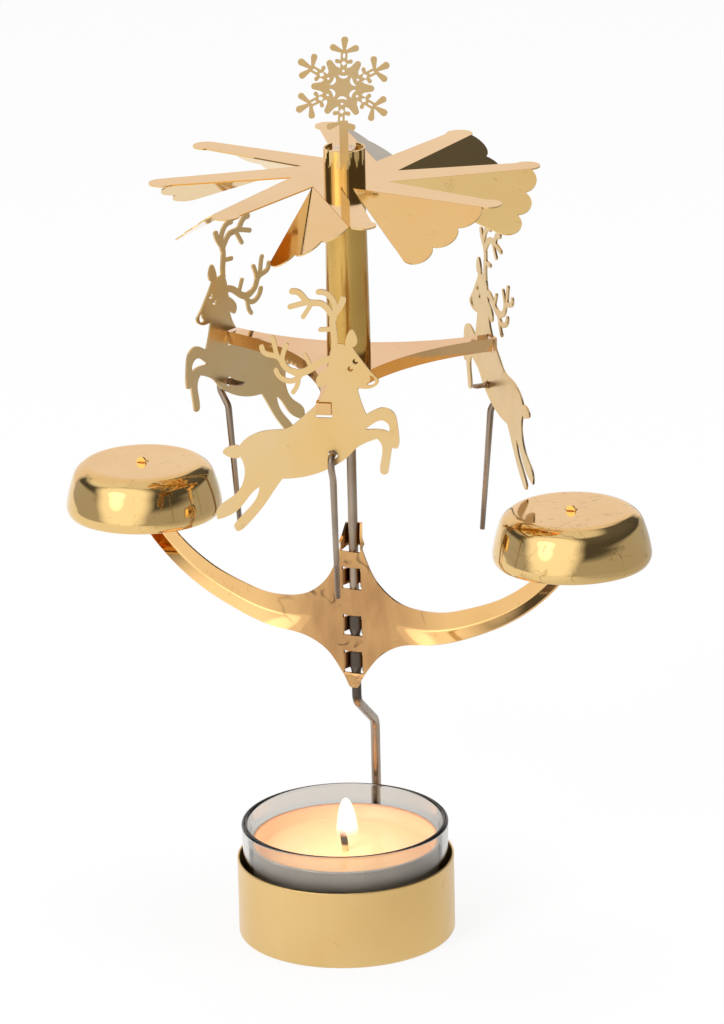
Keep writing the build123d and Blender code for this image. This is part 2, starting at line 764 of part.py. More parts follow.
with BuildSketch() as figure:
    with BuildLine():
        for run in body_shares:
            Spline(*figure_points(run))
    make_face()
    for width, stroke in antler_shares:
        points = figure_points(stroke)
        with BuildLine():
            Spline(*points)
        trace(line_width=width * figure_unit)
        with Locations(points[0], points[-1]):
            Circle(width * figure_unit / 2)
    for opening_shares in (leg_gap_shares, muzzle_shares):
        with BuildLine():
            for run in opening_shares:
                Spline(*figure_points(run))
        make_face(mode=Mode.SUBTRACT)
    for x, y in figure_points(eye_shares):
        with Locations((x, y)):
            Circle(eye_radius, mode=Mode.SUBTRACT)
        with Locations((x + pupil_offset, y + pupil_offset)):
            Circle(pupil_radius)
    Circle(striker_diameter / 2 + striker_play, mode=Mode.SUBTRACT)
    with Locations((-hole_beside_slot, hole_below_slot)):
        Rectangle(
            tab_width_out + 2 * slot_side_gap,
            tab_drop + slot_play,
            align=(Align.CENTER, Align.MAX),
            mode=Mode.SUBTRACT,
        )

for arm in range(arm_count):
    name = "reindeer_" + str(arm + 1)
    angle = spider_turn + arm * 360 / arm_count
    with BuildPart() as reindeer:
        with BuildSketch(radial_plane(reindeer_radius, angle, hole_height, hole_beside_slot)):
            add(figure.sketch)
        extrude(amount=reindeer_sheet / 2, both=True)
    reindeer.part.label = name
    export_step(reindeer.part, "parts/" + name + ".step")

# Strikers: wires with a flattened head behind the figure, a crook through its hole and a
# straight tail that hangs beside the bells
for arm in range(arm_count):
    name = "striker_" + str(arm + 1)
    angle = spider_turn + arm * 360 / arm_count
    out = Vector(cos(radians(angle)), sin(radians(angle)), 0)
    hole_plane = radial_plane(reindeer_radius, angle, hole_height, hole_beside_slot)
    hole = Vector(hole_plane.origin)
    up = Vector(0, 0, 1)
    with BuildPart() as striker:
        with BuildLine() as striker_line:
            FilletPolyline(
                hole - out * (head_clear + head_sheet),
                hole + out * crook_reach,
                hole + out * crook_reach - up * crook_drop,
                hole + out * crook_return - up * crook_end,
                hole + out * striker_end_reach - up * striker_drop,
                radius=[crook_bend, return_bend, hang_bend],
            )
        with BuildSketch(Plane(origin=hole - out * (head_clear + head_sheet), z_dir=out)):
            Circle(striker_diameter / 2)
        sweep(path=striker_line.wires()[0])
        with BuildSketch(Plane(origin=hole, x_dir=out, z_dir=(0, 0, 1))):
            with Locations((-head_clear, 0)):
                Rectangle(head_length, head_width, align=(Align.MAX, Align.CENTER))
            head = vertices()
            chamfer(head, head_corner)
        extrude(amount=head_sheet / 2, both=True)
    striker.part.label = name
    export_step(striker.part, "parts/" + name + ".step")

# Snowflake topper. Points are tenths of its radius, along an arm and across it.
flake_share = 10      # the snowflake's radius in the units of its outline
flake_unit = snowflake_radius / flake_share
snowflake_height = collar_top + snowflake_above_hub + snowflake_radius
flake_plane = radial_plane(
    collar_radius + side_gap + snowflake_sheet / 2, topper_turn, snowflake_height
)
flake_arms = 6
arm_step = 360 / flake_arms
lobe_shares = [
    ((4.9, 0.0), (5.15, 1.30), 0.40),
    ((4.9, 0.0), (5.15, -1.30), 0.40),
    ((6.9, 0.0), (7.80, 2.15), 0.62),
    ((6.9, 0.0), (7.80, -2.15), 0.62),
]
tip_lobe_shares = [((6.9, 0.0), (9.33, 0.0), 0.67)]
spike_shares = [(3.0, 1.75), (4.2, 0.85), (5.4, 0.62)]
disc_share = 3.9
arm_shares = (2.9, 7.1, 1.3)          # from, to and width
neck_share = 0.20
round_hole_shares = (3.25, 0.26)      # place and radius
diamond_shares = (4.75, 0.75)         # place and side
arm_slot_shares = (6.25, 1.0, 0.45)   # place, length and width
crescent_shares = (2.5, 0.96, 2.3, 1.7)   # its ends, along and across, and its two edges
stem_root_share = 6.6


def flake_point(radius, across, turn):
    """A point of the snowflake, along the arm at this turn and across it."""
    angle = atan2(across, radius) + radians(turn)
    reach = hypot(radius, across) * flake_unit
    return (reach * cos(angle), reach * sin(angle))


with BuildPart() as snowflake_topper:
    with BuildSketch(flake_plane):
        Circle(disc_share * flake_unit)
        for arm in range(flake_arms):
            turn = 90 - snowflake_lean + arm * arm_step
            downward = arm == flake_arms / 2
            lobes = lobe_shares if downward else lobe_shares + tip_lobe_shares
            for (root_along, root_across), (along, across), round_end in lobes:
                turn_to_end = turn + degrees(atan2(across - root_across, along - root_along))
                length = hypot(along - root_along, across - root_across)
                lobe_place = Location(flake_point(root_along, root_across, turn), turn_to_end)
                with Locations(lobe_place):
                    Polygon(
                        (0, -neck_share * flake_unit),
                        (length * flake_unit, -round_end * flake_unit),
                        (length * flake_unit, round_end * flake_unit),
                        (0, neck_share * flake_unit),
                        align=None,
                    )
                with Locations(flake_point(along, across, turn)):
                    Circle(round_end * flake_unit)
            with BuildLine():
                Line(flake_point(arm_shares[0], 0, turn), flake_point(arm_shares[1], 0, turn))
            trace(line_width=arm_shares[2] * flake_unit)
            between = turn + arm_step / 2
            upper = [flake_point(x, y, between) for x, y in spike_shares]
            lower = [flake_point(x, -y, between) for x, y in spike_shares]
            with BuildLine():
                Polyline(*upper, *reversed(lower), close=True)
            make_face()
            with Locations(flake_point(spike_shares[-1][0], 0, between)):
                Circle(spike_shares[-1][1] * flake_unit)
        for arm in range(flake_arms):
            turn = 90 - snowflake_lean + arm * arm_step
            with Locations(flake_point(round_hole_shares[0], 0, turn)):
                Circle(round_hole_shares[1] * flake_unit, mode=Mode.SUBTRACT)
            with Locations(Location(flake_point(diamond_shares[0], 0, turn), turn + 45)):
                diamond_side = diamond_shares[1] * flake_unit
                Rectangle(diamond_side, diamond_side, mode=Mode.SUBTRACT)
            with Locations(Location(flake_point(arm_slot_shares[0], 0, turn), turn)):
                SlotOverall(
                    arm_slot_shares[1] * flake_unit,
                    arm_slot_shares[2] * flake_unit,
                    mode=Mode.SUBTRACT,
                )
            ends = [
                flake_point(crescent_shares[0], side * crescent_shares[1], turn) for side in (-1, 1)
            ]
            with BuildLine():
                for edge_share in crescent_shares[2:]:
                    ThreePointArc(ends[0], flake_point(edge_share, 0, turn), ends[1])
            make_face(mode=Mode.SUBTRACT)
        stem_top = -stem_root_share * flake_unit
        stem_end = collar_top - stem_overlap - snowflake_height
        with BuildLine():
            Polyline(
                (-stem_width / 2, stem_top),
                (stem_width / 2, stem_top),
                (stem_width / 2, stem_end),
                (-stem_width / 2, stem_end - stem_slant),
                close=True,
            )
        make_face()
    extrude(amount=snowflake_sheet / 2, both=True)
    hook_plane = radial_plane(
        collar_radius + side_gap, topper_turn, collar_top + side_gap
    )
    hook_reach = collar_wall + 2 * side_gap + snowflake_sheet
    with BuildSketch(hook_plane):
        Rectangle(hook_width, snowflake_sheet, align=(Align.CENTER, Align.MIN))
    extrude(amount=-hook_reach)
    with BuildSketch(hook_plane.offset(-hook_reach)):
        Rectangle(
            hook_width, hook_drop + snowflake_sheet, align=(Align.CENTER, Align.MIN)
        )
    extrude(amount=snowflake_sheet)
snowflake_topper.part.label = "snowflake_topper"
export_step(snowflake_topper.part, "parts/snowflake_topper.step")
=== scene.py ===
import json
from math import cos, hypot, pi, radians, sin, tan

import bmesh
import bpy
import numpy as np
from mathutils import Matrix, Vector


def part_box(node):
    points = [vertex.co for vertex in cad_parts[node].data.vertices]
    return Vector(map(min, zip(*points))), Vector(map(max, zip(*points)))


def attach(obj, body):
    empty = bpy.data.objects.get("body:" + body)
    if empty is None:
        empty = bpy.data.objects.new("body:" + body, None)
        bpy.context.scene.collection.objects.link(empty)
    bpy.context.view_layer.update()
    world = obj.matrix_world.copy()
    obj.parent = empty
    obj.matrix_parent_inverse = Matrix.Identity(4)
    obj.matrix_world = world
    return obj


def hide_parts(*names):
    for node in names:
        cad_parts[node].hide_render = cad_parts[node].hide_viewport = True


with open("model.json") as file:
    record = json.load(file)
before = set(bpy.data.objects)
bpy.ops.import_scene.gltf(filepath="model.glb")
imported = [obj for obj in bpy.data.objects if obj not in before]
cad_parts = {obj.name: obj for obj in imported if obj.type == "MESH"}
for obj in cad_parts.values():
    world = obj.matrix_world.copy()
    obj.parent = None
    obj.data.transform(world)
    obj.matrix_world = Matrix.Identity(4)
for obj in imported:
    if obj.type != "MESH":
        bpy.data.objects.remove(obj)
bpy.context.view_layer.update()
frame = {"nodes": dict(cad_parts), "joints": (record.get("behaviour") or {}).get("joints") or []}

mm = 0.001
nodes = frame["nodes"]
joints = {joint["name"]: joint for joint in frame["joints"]}
spindle = np.array(joints["carousel_turn"]["pos_m"][:2])  # the line that the carousel turns about


# Shared helpers: node trees, then meshes

def feed(tree, node, values):
    # Each input gets a link from another node's output, or a plain value
    for socket, value in values.items():
        if isinstance(value, bpy.types.NodeSocket):
            tree.links.new(value, node.inputs[socket])
        else:
            node.inputs[socket].default_value = value


def addNode(tree, kind, values=None, **settings):
    node = tree.nodes.new("ShaderNode" + kind)
    for key, value in settings.items():
        setattr(node, key, value)
    feed(tree, node, values or {})
    return node


def startMaterial(name, values):
    material = bpy.data.materials.new(name)
    material.use_nodes = True
    tree = material.node_tree
    shader = tree.nodes["Principled BSDF"]
    feed(tree, shader, values)
    return material, tree, shader


def startEmpty(name):
    # A material whose nodes are all made here
    material = bpy.data.materials.new(name)
    material.use_nodes = True
    material.node_tree.nodes.clear()
    return material, material.node_tree


def rgba(colour):
    return (*colour, 1.0)


def objectPoint(tree, scale=(1, 1, 1), centre=(0, 0, 0)):
    place = addNode(tree, "TexCoord").outputs["Object"]
    offset = [-scale[i] * centre[i] for i in range(3)]
    values = {"Vector": place, "Location": offset, "Scale": scale}
    return addNode(tree, "Mapping", values).outputs[0]


def pointHeight(tree):
    return addNode(tree, "SeparateXYZ", {0: objectPoint(tree)}).outputs[2]


def noise(tree, vector, scale, detail=2.0, roughness=0.5, distortion=0.0):
    values = {
        "Vector": vector, "Scale": scale, "Detail": detail, "Roughness": roughness,
        "Distortion": distortion,
    }
    return addNode(tree, "TexNoise", values).outputs["Fac"]


def fitRange(tree, value, low, high, toLow=0.0, toHigh=1.0):
    values = {"Value": value, "From Min": low, "From Max": high, "To Min": toLow, "To Max": toHigh}
    return addNode(tree, "MapRange", values).outputs["Result"]


def measure(tree, operation, *vectors):
    # A number from one vector or two, such as a length
    values = dict(enumerate(vectors))
    return addNode(tree, "VectorMath", values, operation=operation).outputs["Value"]


def farFrom(tree, centre, spread=(1, 1, 1)):
    # Distance from a point in metres, each axis stretched by its spread
    return measure(tree, "LENGTH", objectPoint(tree, spread, centre))


def calc(tree, operation, first, *others):
    # With more than two values, the result of the first two goes in with the next
    if not others:
        return addNode(tree, "Math", {0: first}, operation=operation).outputs[0]
    for other in others:
        first = addNode(tree, "Math", {0: first, 1: other}, operation=operation).outputs[0]
    return first


def mixColours(tree, factor, first, second):
    values = {0: factor, 6: first, 7: second}  # the mix node's sockets for colours
    return addNode(tree, "Mix", values, data_type="RGBA").outputs[2]


def roundPoint(tree, centre, around, along):
    # Cosine and sine of the turn about an upright axis, and the height less the way out from it
    place = objectPoint(tree, centre=(centre[0], centre[1], 0))
    parts = addNode(tree, "SeparateXYZ", {0: place})
    flat = addNode(tree, "CombineXYZ", {0: parts.outputs[0], 1: parts.outputs[1]}).outputs[0]
    reach = measure(tree, "LENGTH", flat)
    turn = addNode(tree, "VectorMath", {0: flat}, operation="NORMALIZE").outputs[0]
    turns = addNode(tree, "SeparateXYZ", {0: turn})
    values = {
        0: calc(tree, "MULTIPLY", turns.outputs[0], around),
        1: calc(tree, "MULTIPLY", turns.outputs[1], around),
        2: calc(tree, "MULTIPLY", calc(tree, "SUBTRACT", parts.outputs[2], reach), along),
    }
    return addNode(tree, "CombineXYZ", values).outputs[0]


hairline = {"detail": 3.0, "roughness": 0.55, "distortion": 0.6, "patchScale": 1.7, "patchEdge": 0.06}


def hairlines(tree, vector, scale, width, cover):
    # Thin lines where a bent noise crosses its middle value, kept only where a second noise is high
    h = hairline
    lines = noise(tree, vector, scale, h["detail"], h["roughness"], h["distortion"])
    lines = calc(tree, "ABSOLUTE", calc(tree, "SUBTRACT", lines, 0.5))
    thin = fitRange(tree, lines, 0.0, width, 1.0, 0.0)
    patches = noise(tree, vector, scale * h["patchScale"])
    return calc(tree, "MULTIPLY", thin, fitRange(tree, patches, cover, cover + h["patchEdge"]))


def metalMaterial(name, finish, centre=None):
    # Metal with a slow change of tone, a slight waviness, brush lines and hairline marks. The brush
    # lines run round the centre, where there is one.
    values = {
        "Metallic": 1.0, "Base Color": rgba(finish["colour"]), "Roughness": finish["roughness"],
        "Coat Weight": finish["lacquer"], "Coat Roughness": finish["lacquerRough"],
    }
    material, tree, shader = startMaterial(name, values)
    place = objectPoint(tree)
    tone = noise(tree, place, finish["toneScale"], detail=3.0)
    tone = fitRange(tree, tone, *finish["toneRange"])
    colour = mixColours(tree, tone, rgba(finish["colour"]), rgba(finish["deep"]))
    if centre is None:
        brush = objectPoint(tree, finish["brushStretch"])
    else:
        brush = roundPoint(tree, centre, *finish["brushStretch"][:2])
    grain = noise(tree, brush, 1.0)
    marks = hairlines(tree, place, finish["markScale"], finish["markWidth"], finish["markCover"])
    marked = calc(tree, "MULTIPLY", marks, finish["markTone"])
    colour = mixColours(tree, marked, colour, rgba(finish["markColour"]))
    low, high = finish["roughness"], finish["roughness"] + finish["roughSpread"]
    rough = fitRange(tree, grain, *finish["grainRange"], low, high)
    rough = calc(tree, "ADD", rough, calc(tree, "MULTIPLY", marks, finish["markRough"]))
    wave = noise(tree, place, finish["waveScale"], detail=1.0)
    wave = calc(tree, "MULTIPLY", wave, finish["waveDepth"] * mm)
    height = calc(tree, "ADD", wave, calc(tree, "MULTIPLY", grain, finish["grainDepth"] * mm))
    height = calc(tree, "SUBTRACT", height, calc(tree, "MULTIPLY", marks, finish["markDepth"] * mm))
    feed(tree, shader, {"Base Color": colour, "Roughness": rough})
    addBump(material, height)
    return material


def tintBase(material, factor, colour):
    # Mixes a second colour into the material's base colour
    tree = material.node_tree
    base = tree.nodes["Principled BSDF"].inputs["Base Color"]
    tree.links.new(mixColours(tree, factor, base.links[0].from_socket, rgba(colour)), base)


def addBump(material, height):
    # A relief for the material, over any that it has
    tree = material.node_tree
    normal = tree.nodes["Principled BSDF"].inputs["Normal"]
    values = {"Strength": 1.0, "Distance": 1.0, "Height": height}
    if normal.links:
        values["Normal"] = normal.links[0].from_socket
    tree.links.new(addNode(tree, "Bump", values).outputs[0], normal)


def heightBand(tree, low, high, edge):
    # 1 between two heights in millimetres, with soft edges
    height = pointHeight(tree)
    above = fitRange(tree, height, (low - edge) * mm, (low + edge) * mm)
    below = fitRange(tree, height, (high + edge) * mm, (high - edge) * mm)
    return calc(tree, "MINIMUM", above, below)


def roundedLine(corners, steps=7, nearby=0.15):
    # Straight runs between (across, up, radius) corners; each corner becomes an arc between its tangent
    # points, with one more point nearby on each run so that a flat stretch keeps its own shading
    line = []
    for index, (x, y, radius) in enumerate(corners):
        here = np.array((x, y), float)
        if radius == 0 or index in (0, len(corners) - 1):
            line.append(here[None])
            continue
        back = np.array(corners[index - 1][:2]) - here
        on = np.array(corners[index + 1][:2]) - here
        back, on = back / np.linalg.norm(back), on / np.linalg.norm(on)
        half = np.arccos(np.clip(back @ on, -1, 1)) / 2
        start, end = here + back * radius / tan(half), here + on * radius / tan(half)
        middle = here + (back + on) / np.linalg.norm(back + on) * radius / sin(half)
        first = np.arctan2(*(start - middle)[::-1])
        sweep = (np.arctan2(*(end - middle)[::-1]) - first + pi) % (2 * pi) - pi
        turns = first + sweep * np.linspace(0, 1, steps + 1)
        arc = middle + radius * np.stack([np.cos(turns), np.sin(turns)], axis=1)
        close = nearby * radius
        line += [start[None] + back * close, arc, end[None] + on * close]
    return np.concatenate(line)


def ease(value):
    # From 0 to 1 with a soft start and end
    value = np.clip(value, 0, 1)
    return value * value * (3 - 2 * value)


def curveThrough(points, count):
    # Smooth curve through the points: a cubic between each two, with slopes from their neighbours
    points = np.array(points, float)
    gaps = np.linalg.norm(np.diff(points, axis=0), axis=1)
    at = np.concatenate([[0], np.cumsum(gaps)])
    inner = (points[2:] - points[:-2]) / (at[2:] - at[:-2])[:, None]
    first, last = (points[1] - points[0]) / gaps[0], (points[-1] - points[-2]) / gaps[-1]
    slopes = np.concatenate([[2 * first - inner[0]], inner, [2 * last - inner[-1]]])
    along = np.linspace(0, at[-1], count)
    k = np.clip(np.searchsorted(at, along, side="right") - 1, 0, len(gaps) - 1)
    t = ((along - at[k]) / gaps[k])[:, None]
    step = gaps[k][:, None]
    return (
        (2 * t**3 - 3 * t**2 + 1) * points[k] + (t**3 - 2 * t**2 + t) * step * slopes[k]
        + (3 * t**2 - 2 * t**3) * points[k + 1] + (t**3 - t**2) * step * slopes[k + 1]
    )


def meshFromGrid(name, grid, closedRows=False, closedColumns=False, smooth=True):
    # A grid of points becomes quads; closed directions join their last line of points to the first
    rows, columns = grid.shape[:2]
    index = np.arange(rows * columns).reshape(rows, columns)
    if closedRows:
        index = np.concatenate([index, index[:1]])
    if closedColumns:
        index = np.concatenate([index, index[:, :1]], axis=1)
    quads = np.stack([index[:-1, :-1], index[:-1, 1:], index[1:, 1:], index[1:, :-1]], axis=-1)
    mesh = bpy.data.meshes.new(name)
    mesh.from_pydata(grid.reshape(-1, 3).tolist(), [], quads.reshape(-1, 4).tolist())
    return finishMesh(name, mesh, smooth)


def newObject(name, data):
    thing = bpy.data.objects.new(name, data)
    bpy.context.scene.collection.objects.link(thing)
    return thing


samePoint, leastEdge = 1e-7, 1e-8  # metres


def finishMesh(name, mesh, smooth=True, sharpAngle=None):
    # Joins points that coincide, turns the faces outwards and makes the object
    work = bmesh.new()
    work.from_mesh(mesh)
    bmesh.ops.remove_doubles(work, verts=work.verts, dist=samePoint)
    bmesh.ops.dissolve_degenerate(work, edges=work.edges, dist=leastEdge)
    bmesh.ops.recalc_face_normals(work, faces=work.faces)
    work.to_mesh(mesh)
    work.free()
    mesh.polygons.foreach_set("use_smooth", np.full(len(mesh.polygons), smooth))
    if sharpAngle:
        mesh.set_sharp_from_angle(angle=radians(sharpAngle))
    return newObject(name, mesh)


def lathe(name, profile, centre, segments, closed=True):
    # Each profile point (reach, height) goes once round the upright line through the centre
    turns = np.linspace(0, 2 * pi, segments, endpoint=False)
    reach, height = profile[:, 0][:, None], profile[:, 1][:, None]
    grid = np.stack([
        centre[0] + reach * np.cos(turns), centre[1] + reach * np.sin(turns), height + 0 * turns
    ], axis=-1)
    return meshFromGrid(name, grid, closedRows=closed, closedColumns=True)


def tubeAlong(name, line, origin, across, halfWide, halfDeep, sides):
    # A flat path of (across, up) points in the upright plane through origin. At each point an ellipse
    # stands square to the path: halfWide out of that plane, halfDeep within it. The ends are closed.
    ahead = np.gradient(line, axis=0)
    ahead /= np.linalg.norm(ahead, axis=1)[:, None]
    across = np.array([across[0], across[1], 0.0]) / hypot(*across[:2])
    up = np.array([0.0, 0.0, 1.0])
    middle = np.array(origin) + line[:, :1] * across + line[:, 1:] * up
    beside = np.cross(across, up)
    inPlane = -ahead[:, 1:] * across + ahead[:, :1] * up
    turns = np.linspace(0, 2 * pi, sides, endpoint=False)[None, :, None]
    wide = np.broadcast_to(halfWide, len(line))[:, None, None]
    deep = np.broadcast_to(halfDeep, len(line))[:, None, None]
    grid = middle[:, None] + wide * np.cos(turns) * beside + deep * np.sin(turns) * inPlane[:, None]
    ends = [np.broadcast_to(middle[i], (1, sides, 3)) for i in (0, -1)]
    return meshFromGrid(name, np.concatenate([ends[0], grid, ends[1]]), closedColumns=True)


def place(piece, body, slot, material, *replaced):
    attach(piece, body)
    if replaced:
        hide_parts(*replaced)
    piece.data.materials.clear()
    piece.data.materials.append(material)


def placeCopy(node, name, body, slot, material):
    # The solid's own shape, with its triangles joined and its round faces shaded smooth
    piece = finishMesh(name, nodes[node].data.copy(), sharpAngle=30)
    place(piece, body, slot, material, node)


def boxOf(node):
    low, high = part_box(node)
    return np.array(low), np.array(high)


# Camera, at the photograph's place and angle, with a view of 724 by 1024

view = {
    "turn": 23.05,  # degrees, from the bell arms' square line to the line of sight
    "down": 18.87,
    "roll": -1.3,
    "distance": 1300.0,
    "aimSide": 4.81,
    "aimHeight": 88.0,
    "focalPixels": 6619.5,
    "imageHeight": 1024,
    "sensor": 36.0,
    "clipEnd": 20.0,
}


def makeCamera():
    data = bpy.data.cameras.new("camera")
    data.sensor_fit = "VERTICAL"
    data.sensor_height = view["sensor"]
    data.lens = view["sensor"] * view["focalPixels"] / view["imageHeight"]
    data.clip_end = view["clipEnd"]
    turn, down, roll = (radians(view[angle]) for angle in ("turn", "down", "roll"))
    right = Vector((cos(turn), sin(turn), 0))
    away = Vector((-sin(turn), cos(turn), 0))
    forward = away * cos(down) - Vector((0, 0, sin(down)))
    up = right.cross(forward)
    rolledRight = right * cos(roll) + up * sin(roll)
    rolledUp = up * cos(roll) - right * sin(roll)
    aim = right * view["aimSide"] * mm + Vector((0, 0, view["aimHeight"] * mm))
    camera = newObject("camera", data)
    axes = Matrix((rolledRight, rolledUp, -forward)).transposed()
    camera.matrix_world = Matrix.Translation(aim - forward * view["distance"] * mm) @ axes.to_4x4()
    bpy.context.scene.camera = camera
    return right, away


sideways, backwards = makeCamera()
print("camera placed")


# Studio: pale floor, white surround, soft lamps

studio = {
    "tableLeft": 0.6,  # metres, from the middle of the base
    "tableRight": 0.36,
    "tableFront": 0.64,
    "tableBack": 2.6,
    "floorColour": (0.92, 0.92, 0.92),
    "floorWhite": 0.86,  # how much of the floor's look is plain white
    # painted shade: polished metal sees the floor brightest over the middle and darker to the right
    "floorShine": 0.94,  # in polished metal, over the middle
    "floorShadeFall": 2.6,  # and its fall to the right, for each metre
    "floorLeast": 0.48,
    "floorMost": 1.05,
    "surroundLight": 0.42,
    "roomLow": 0.05,  # the unlit room, as polished metal sees it
    "roomHigh": 0.15,
    "roomRange": (-0.1, 0.9),  # and the rises at which it has these two levels
    "glow": 0.5,  # white boards round the table, and the rise of their soft top edge
    "glowEdge": (0.12, 0.24),
    "panels": [
        # soft white panels in the room: turn from the front, tilt up, half width, edge, strength
        (-34, 26, 28, 26, 1.35),
        (-44, 22, 9, 12, 2.2),
        (-112, 56, 16, 18, 1.0),
        (60, 88, 14, 20, 0.9),
        (-170, 6, 30, 14, 1.0),
        (-165, 50, 20, 14, 1.0),
    ],
    "backPanels": 2,  # the last ones stand behind the object and have a slight blush
    "blush": (1.0, 0.90, 0.86),
    "lamps": [
        # name, to the side, away, height, size, watts
        ("keyLamp", -0.95, -1.0, 0.85, 0.8, 17.0),
        ("fillLamp", 1.1, -0.5, 0.8, 0.9, 5.0),
        ("topLamp", 0.0, 0.3, 1.6, 1.0, 9.0),
    ],
}


def makeFloor():
    s = studio
    left, right = -sideways * s["tableLeft"], sideways * s["tableRight"]
    front, back = -backwards * s["tableFront"], backwards * s["tableBack"]
    corners = np.array([[left + front, right + front], [left + back, right + back]], float)
    floor = meshFromGrid("floor", corners, smooth=False)
    material, tree = startEmpty("floorPaper")
    paper = addNode(tree, "BsdfDiffuse", {"Color": rgba(s["floorColour"])})
    rays = addNode(tree, "LightPath")
    side = measure(tree, "DOT_PRODUCT", objectPoint(tree), tuple(sideways))
    # Painted shade: for glossy rays the floor's white falls off to the right, between the least and the
    # most
    shine = calc(tree, "SUBTRACT", s["floorShine"], calc(tree, "MULTIPLY", side, s["floorShadeFall"]))
    shine = calc(tree, "MINIMUM", calc(tree, "MAXIMUM", shine, s["floorLeast"]), s["floorMost"])
    level = fitRange(tree, rays.outputs["Is Glossy Ray"], 0.0, 1.0, 1.0, shine)
    white = addNode(tree, "Emission", {"Color": (1, 1, 1, 1), "Strength": level})
    kinds = [rays.outputs["Is " + kind + " Ray"] for kind in ("Camera", "Glossy", "Transmission")]
    factor = calc(tree, "MULTIPLY", calc(tree, "MAXIMUM", *kinds), s["floorWhite"])
    mixed = addNode(tree, "MixShader", {0: factor, 1: paper.outputs[0], 2: white.outputs[0]})
    addNode(tree, "OutputMaterial", {"Surface": mixed.outputs[0]})
    floor.data.materials.append(material)


def roomDirection(turn, tilt):
    # A direction by its turn from the camera's side of the object and its tilt up
    flat = -backwards * cos(radians(turn)) + sideways * sin(radians(turn))
    return tuple(flat * cos(radians(tilt)) + Vector((0, 0, sin(radians(tilt)))))


def makeSurround():
    # White to the camera and through glass. Polished metal sees a dim room with soft white panels.
    s = studio
    world = bpy.data.worlds.new("surround")
    bpy.context.scene.world = world
    world.use_nodes = True
    tree = world.node_tree
    tree.nodes.clear()
    rays = addNode(tree, "LightPath")
    direction = addNode(tree, "TexCoord").outputs["Generated"]
    height = addNode(tree, "SeparateXYZ", {0: direction}).outputs[2]
    shine = fitRange(tree, height, *s["roomRange"], s["roomLow"], s["roomHigh"])
    shine = calc(tree, "MAXIMUM", shine, fitRange(tree, height, *s["glowEdge"], s["glow"], 0.0))
    panels = []
    for turn, tilt, half, edge, strength in s["panels"]:
        facing = measure(tree, "DOT_PRODUCT", direction, roomDirection(turn, tilt))
        values = {
            "Value": facing, "From Min": cos(radians(half + edge)), "From Max": cos(radians(half)),
            "To Min": 0.0, "To Max": strength,
        }
        panel = addNode(tree, "MapRange", values, interpolation_type="SMOOTHSTEP")
        panels.append(panel.outputs["Result"])
    shine = calc(tree, "MAXIMUM", shine, *panels)
    behind = calc(tree, "MAXIMUM", *panels[-s["backPanels"]:])
    glossy = rays.outputs["Is Glossy Ray"]
    clear = calc(tree, "MAXIMUM", rays.outputs["Is Camera Ray"], rays.outputs["Is Transmission Ray"])
    unseen = calc(tree, "SUBTRACT", 1.0, calc(tree, "MAXIMUM", clear, glossy))
    reflected = calc(tree, "MAXIMUM", clear, calc(tree, "MULTIPLY", glossy, shine))
    strength = calc(tree, "ADD", calc(tree, "MULTIPLY", unseen, s["surroundLight"]), reflected)
    blush = calc(tree, "MULTIPLY", calc(tree, "MINIMUM", behind, 1.0), glossy)
    colour = mixColours(tree, blush, (1, 1, 1, 1), rgba(s["blush"]))
    light = addNode(tree, "Background", {"Color": colour, "Strength": strength})
    addNode(tree, "OutputWorld", {"Surface": light.outputs[0]})


def makeLamps():
    # The lamps light dull surfaces; polished metal sees the panels instead
    aim = Vector((0, 0, view["aimHeight"] * mm))
    for name, side, away, height, size, watts in studio["lamps"]:
        data = bpy.data.lights.new(name, "AREA")
        data.shape = "DISK"
        data.size = size
        data.energy = watts
        lamp = newObject(name, data)
        lamp.location = sideways * side + backwards * away + Vector((0, 0, height))
        lamp.rotation_euler = (aim - lamp.location).to_track_quat("-Z", "Y").to_euler()
        lamp.visible_glossy = False


makeFloor()
makeSurround()
makeLamps()
bpy.context.scene.view_settings.view_transform = "Standard"
print("studio ready")


# Finishes of the sheet and turned brass

brassBase = {
    "colour": (0.80, 0.56, 0.24), "deep": (0.76, 0.50, 0.19), "roughness": 0.10, "roughSpread": 0.06,
    "toneScale": 45.0, "brushStretch": (300, 300, 300), "grainDepth": 0.0006,
    "markScale": 160.0, "markWidth": 0.012, "markCover": 0.58, "markDepth": 0.002, "markRough": 0.12,
    "waveScale": 60.0, "waveDepth": 0.02, "lacquer": 0.2, "lacquerRough": 0.06,
    "markTone": 0.25, "markColour": (0.3, 0.17, 0.06),
    "toneRange": (0.35, 0.7), "grainRange": (0.35, 0.65),
}
bellBrass = dict(brassBase, roughness=0.05, roughSpread=0.05, waveDepth=0.03, waveScale=90.0)
finishes = {
    "bellBrassLeft": dict(bellBrass, markScale=190.0, markWidth=0.009, markCover=0.52, markTone=0.5),
    "bellBrassRight": dict(bellBrass, markScale=150.0, markCover=0.42, markTone=0.55),
    "baseBrass": dict(
        brassBase, roughness=0.30, roughSpread=0.05, brushStretch=(6, 9000, 0), grainDepth=0.0004,
        markCover=0.66, waveDepth=0.012,
    ),
    "bracketBrass": dict(
        brassBase, colour=(0.84, 0.52, 0.21), deep=(0.78, 0.46, 0.17), roughness=0.05, roughSpread=0.05,
        waveScale=110.0, waveDepth=0.06,
    ),
    "bladeBrass": dict(brassBase, roughness=0.04, roughSpread=0.04, waveDepth=0.04, waveScale=45.0),
    "spiderBrass": dict(
        brassBase, colour=(0.78, 0.50, 0.23), deep=(0.70, 0.42, 0.17), roughness=0.06, waveDepth=0.04,
    ),
    "tubeBrass": dict(
        brassBase, colour=(0.70, 0.44, 0.12), deep=(0.55, 0.32, 0.07), roughness=0.14, roughSpread=0.1,
        brushStretch=(5, 5000, 0), grainDepth=0.006,
    ),
    "hubBrass": dict(brassBase, colour=(0.80, 0.55, 0.2), roughness=0.06),
    "figureBrass": dict(brassBase, colour=(0.76, 0.55, 0.28), roughness=0.28, markCover=0.62),
}


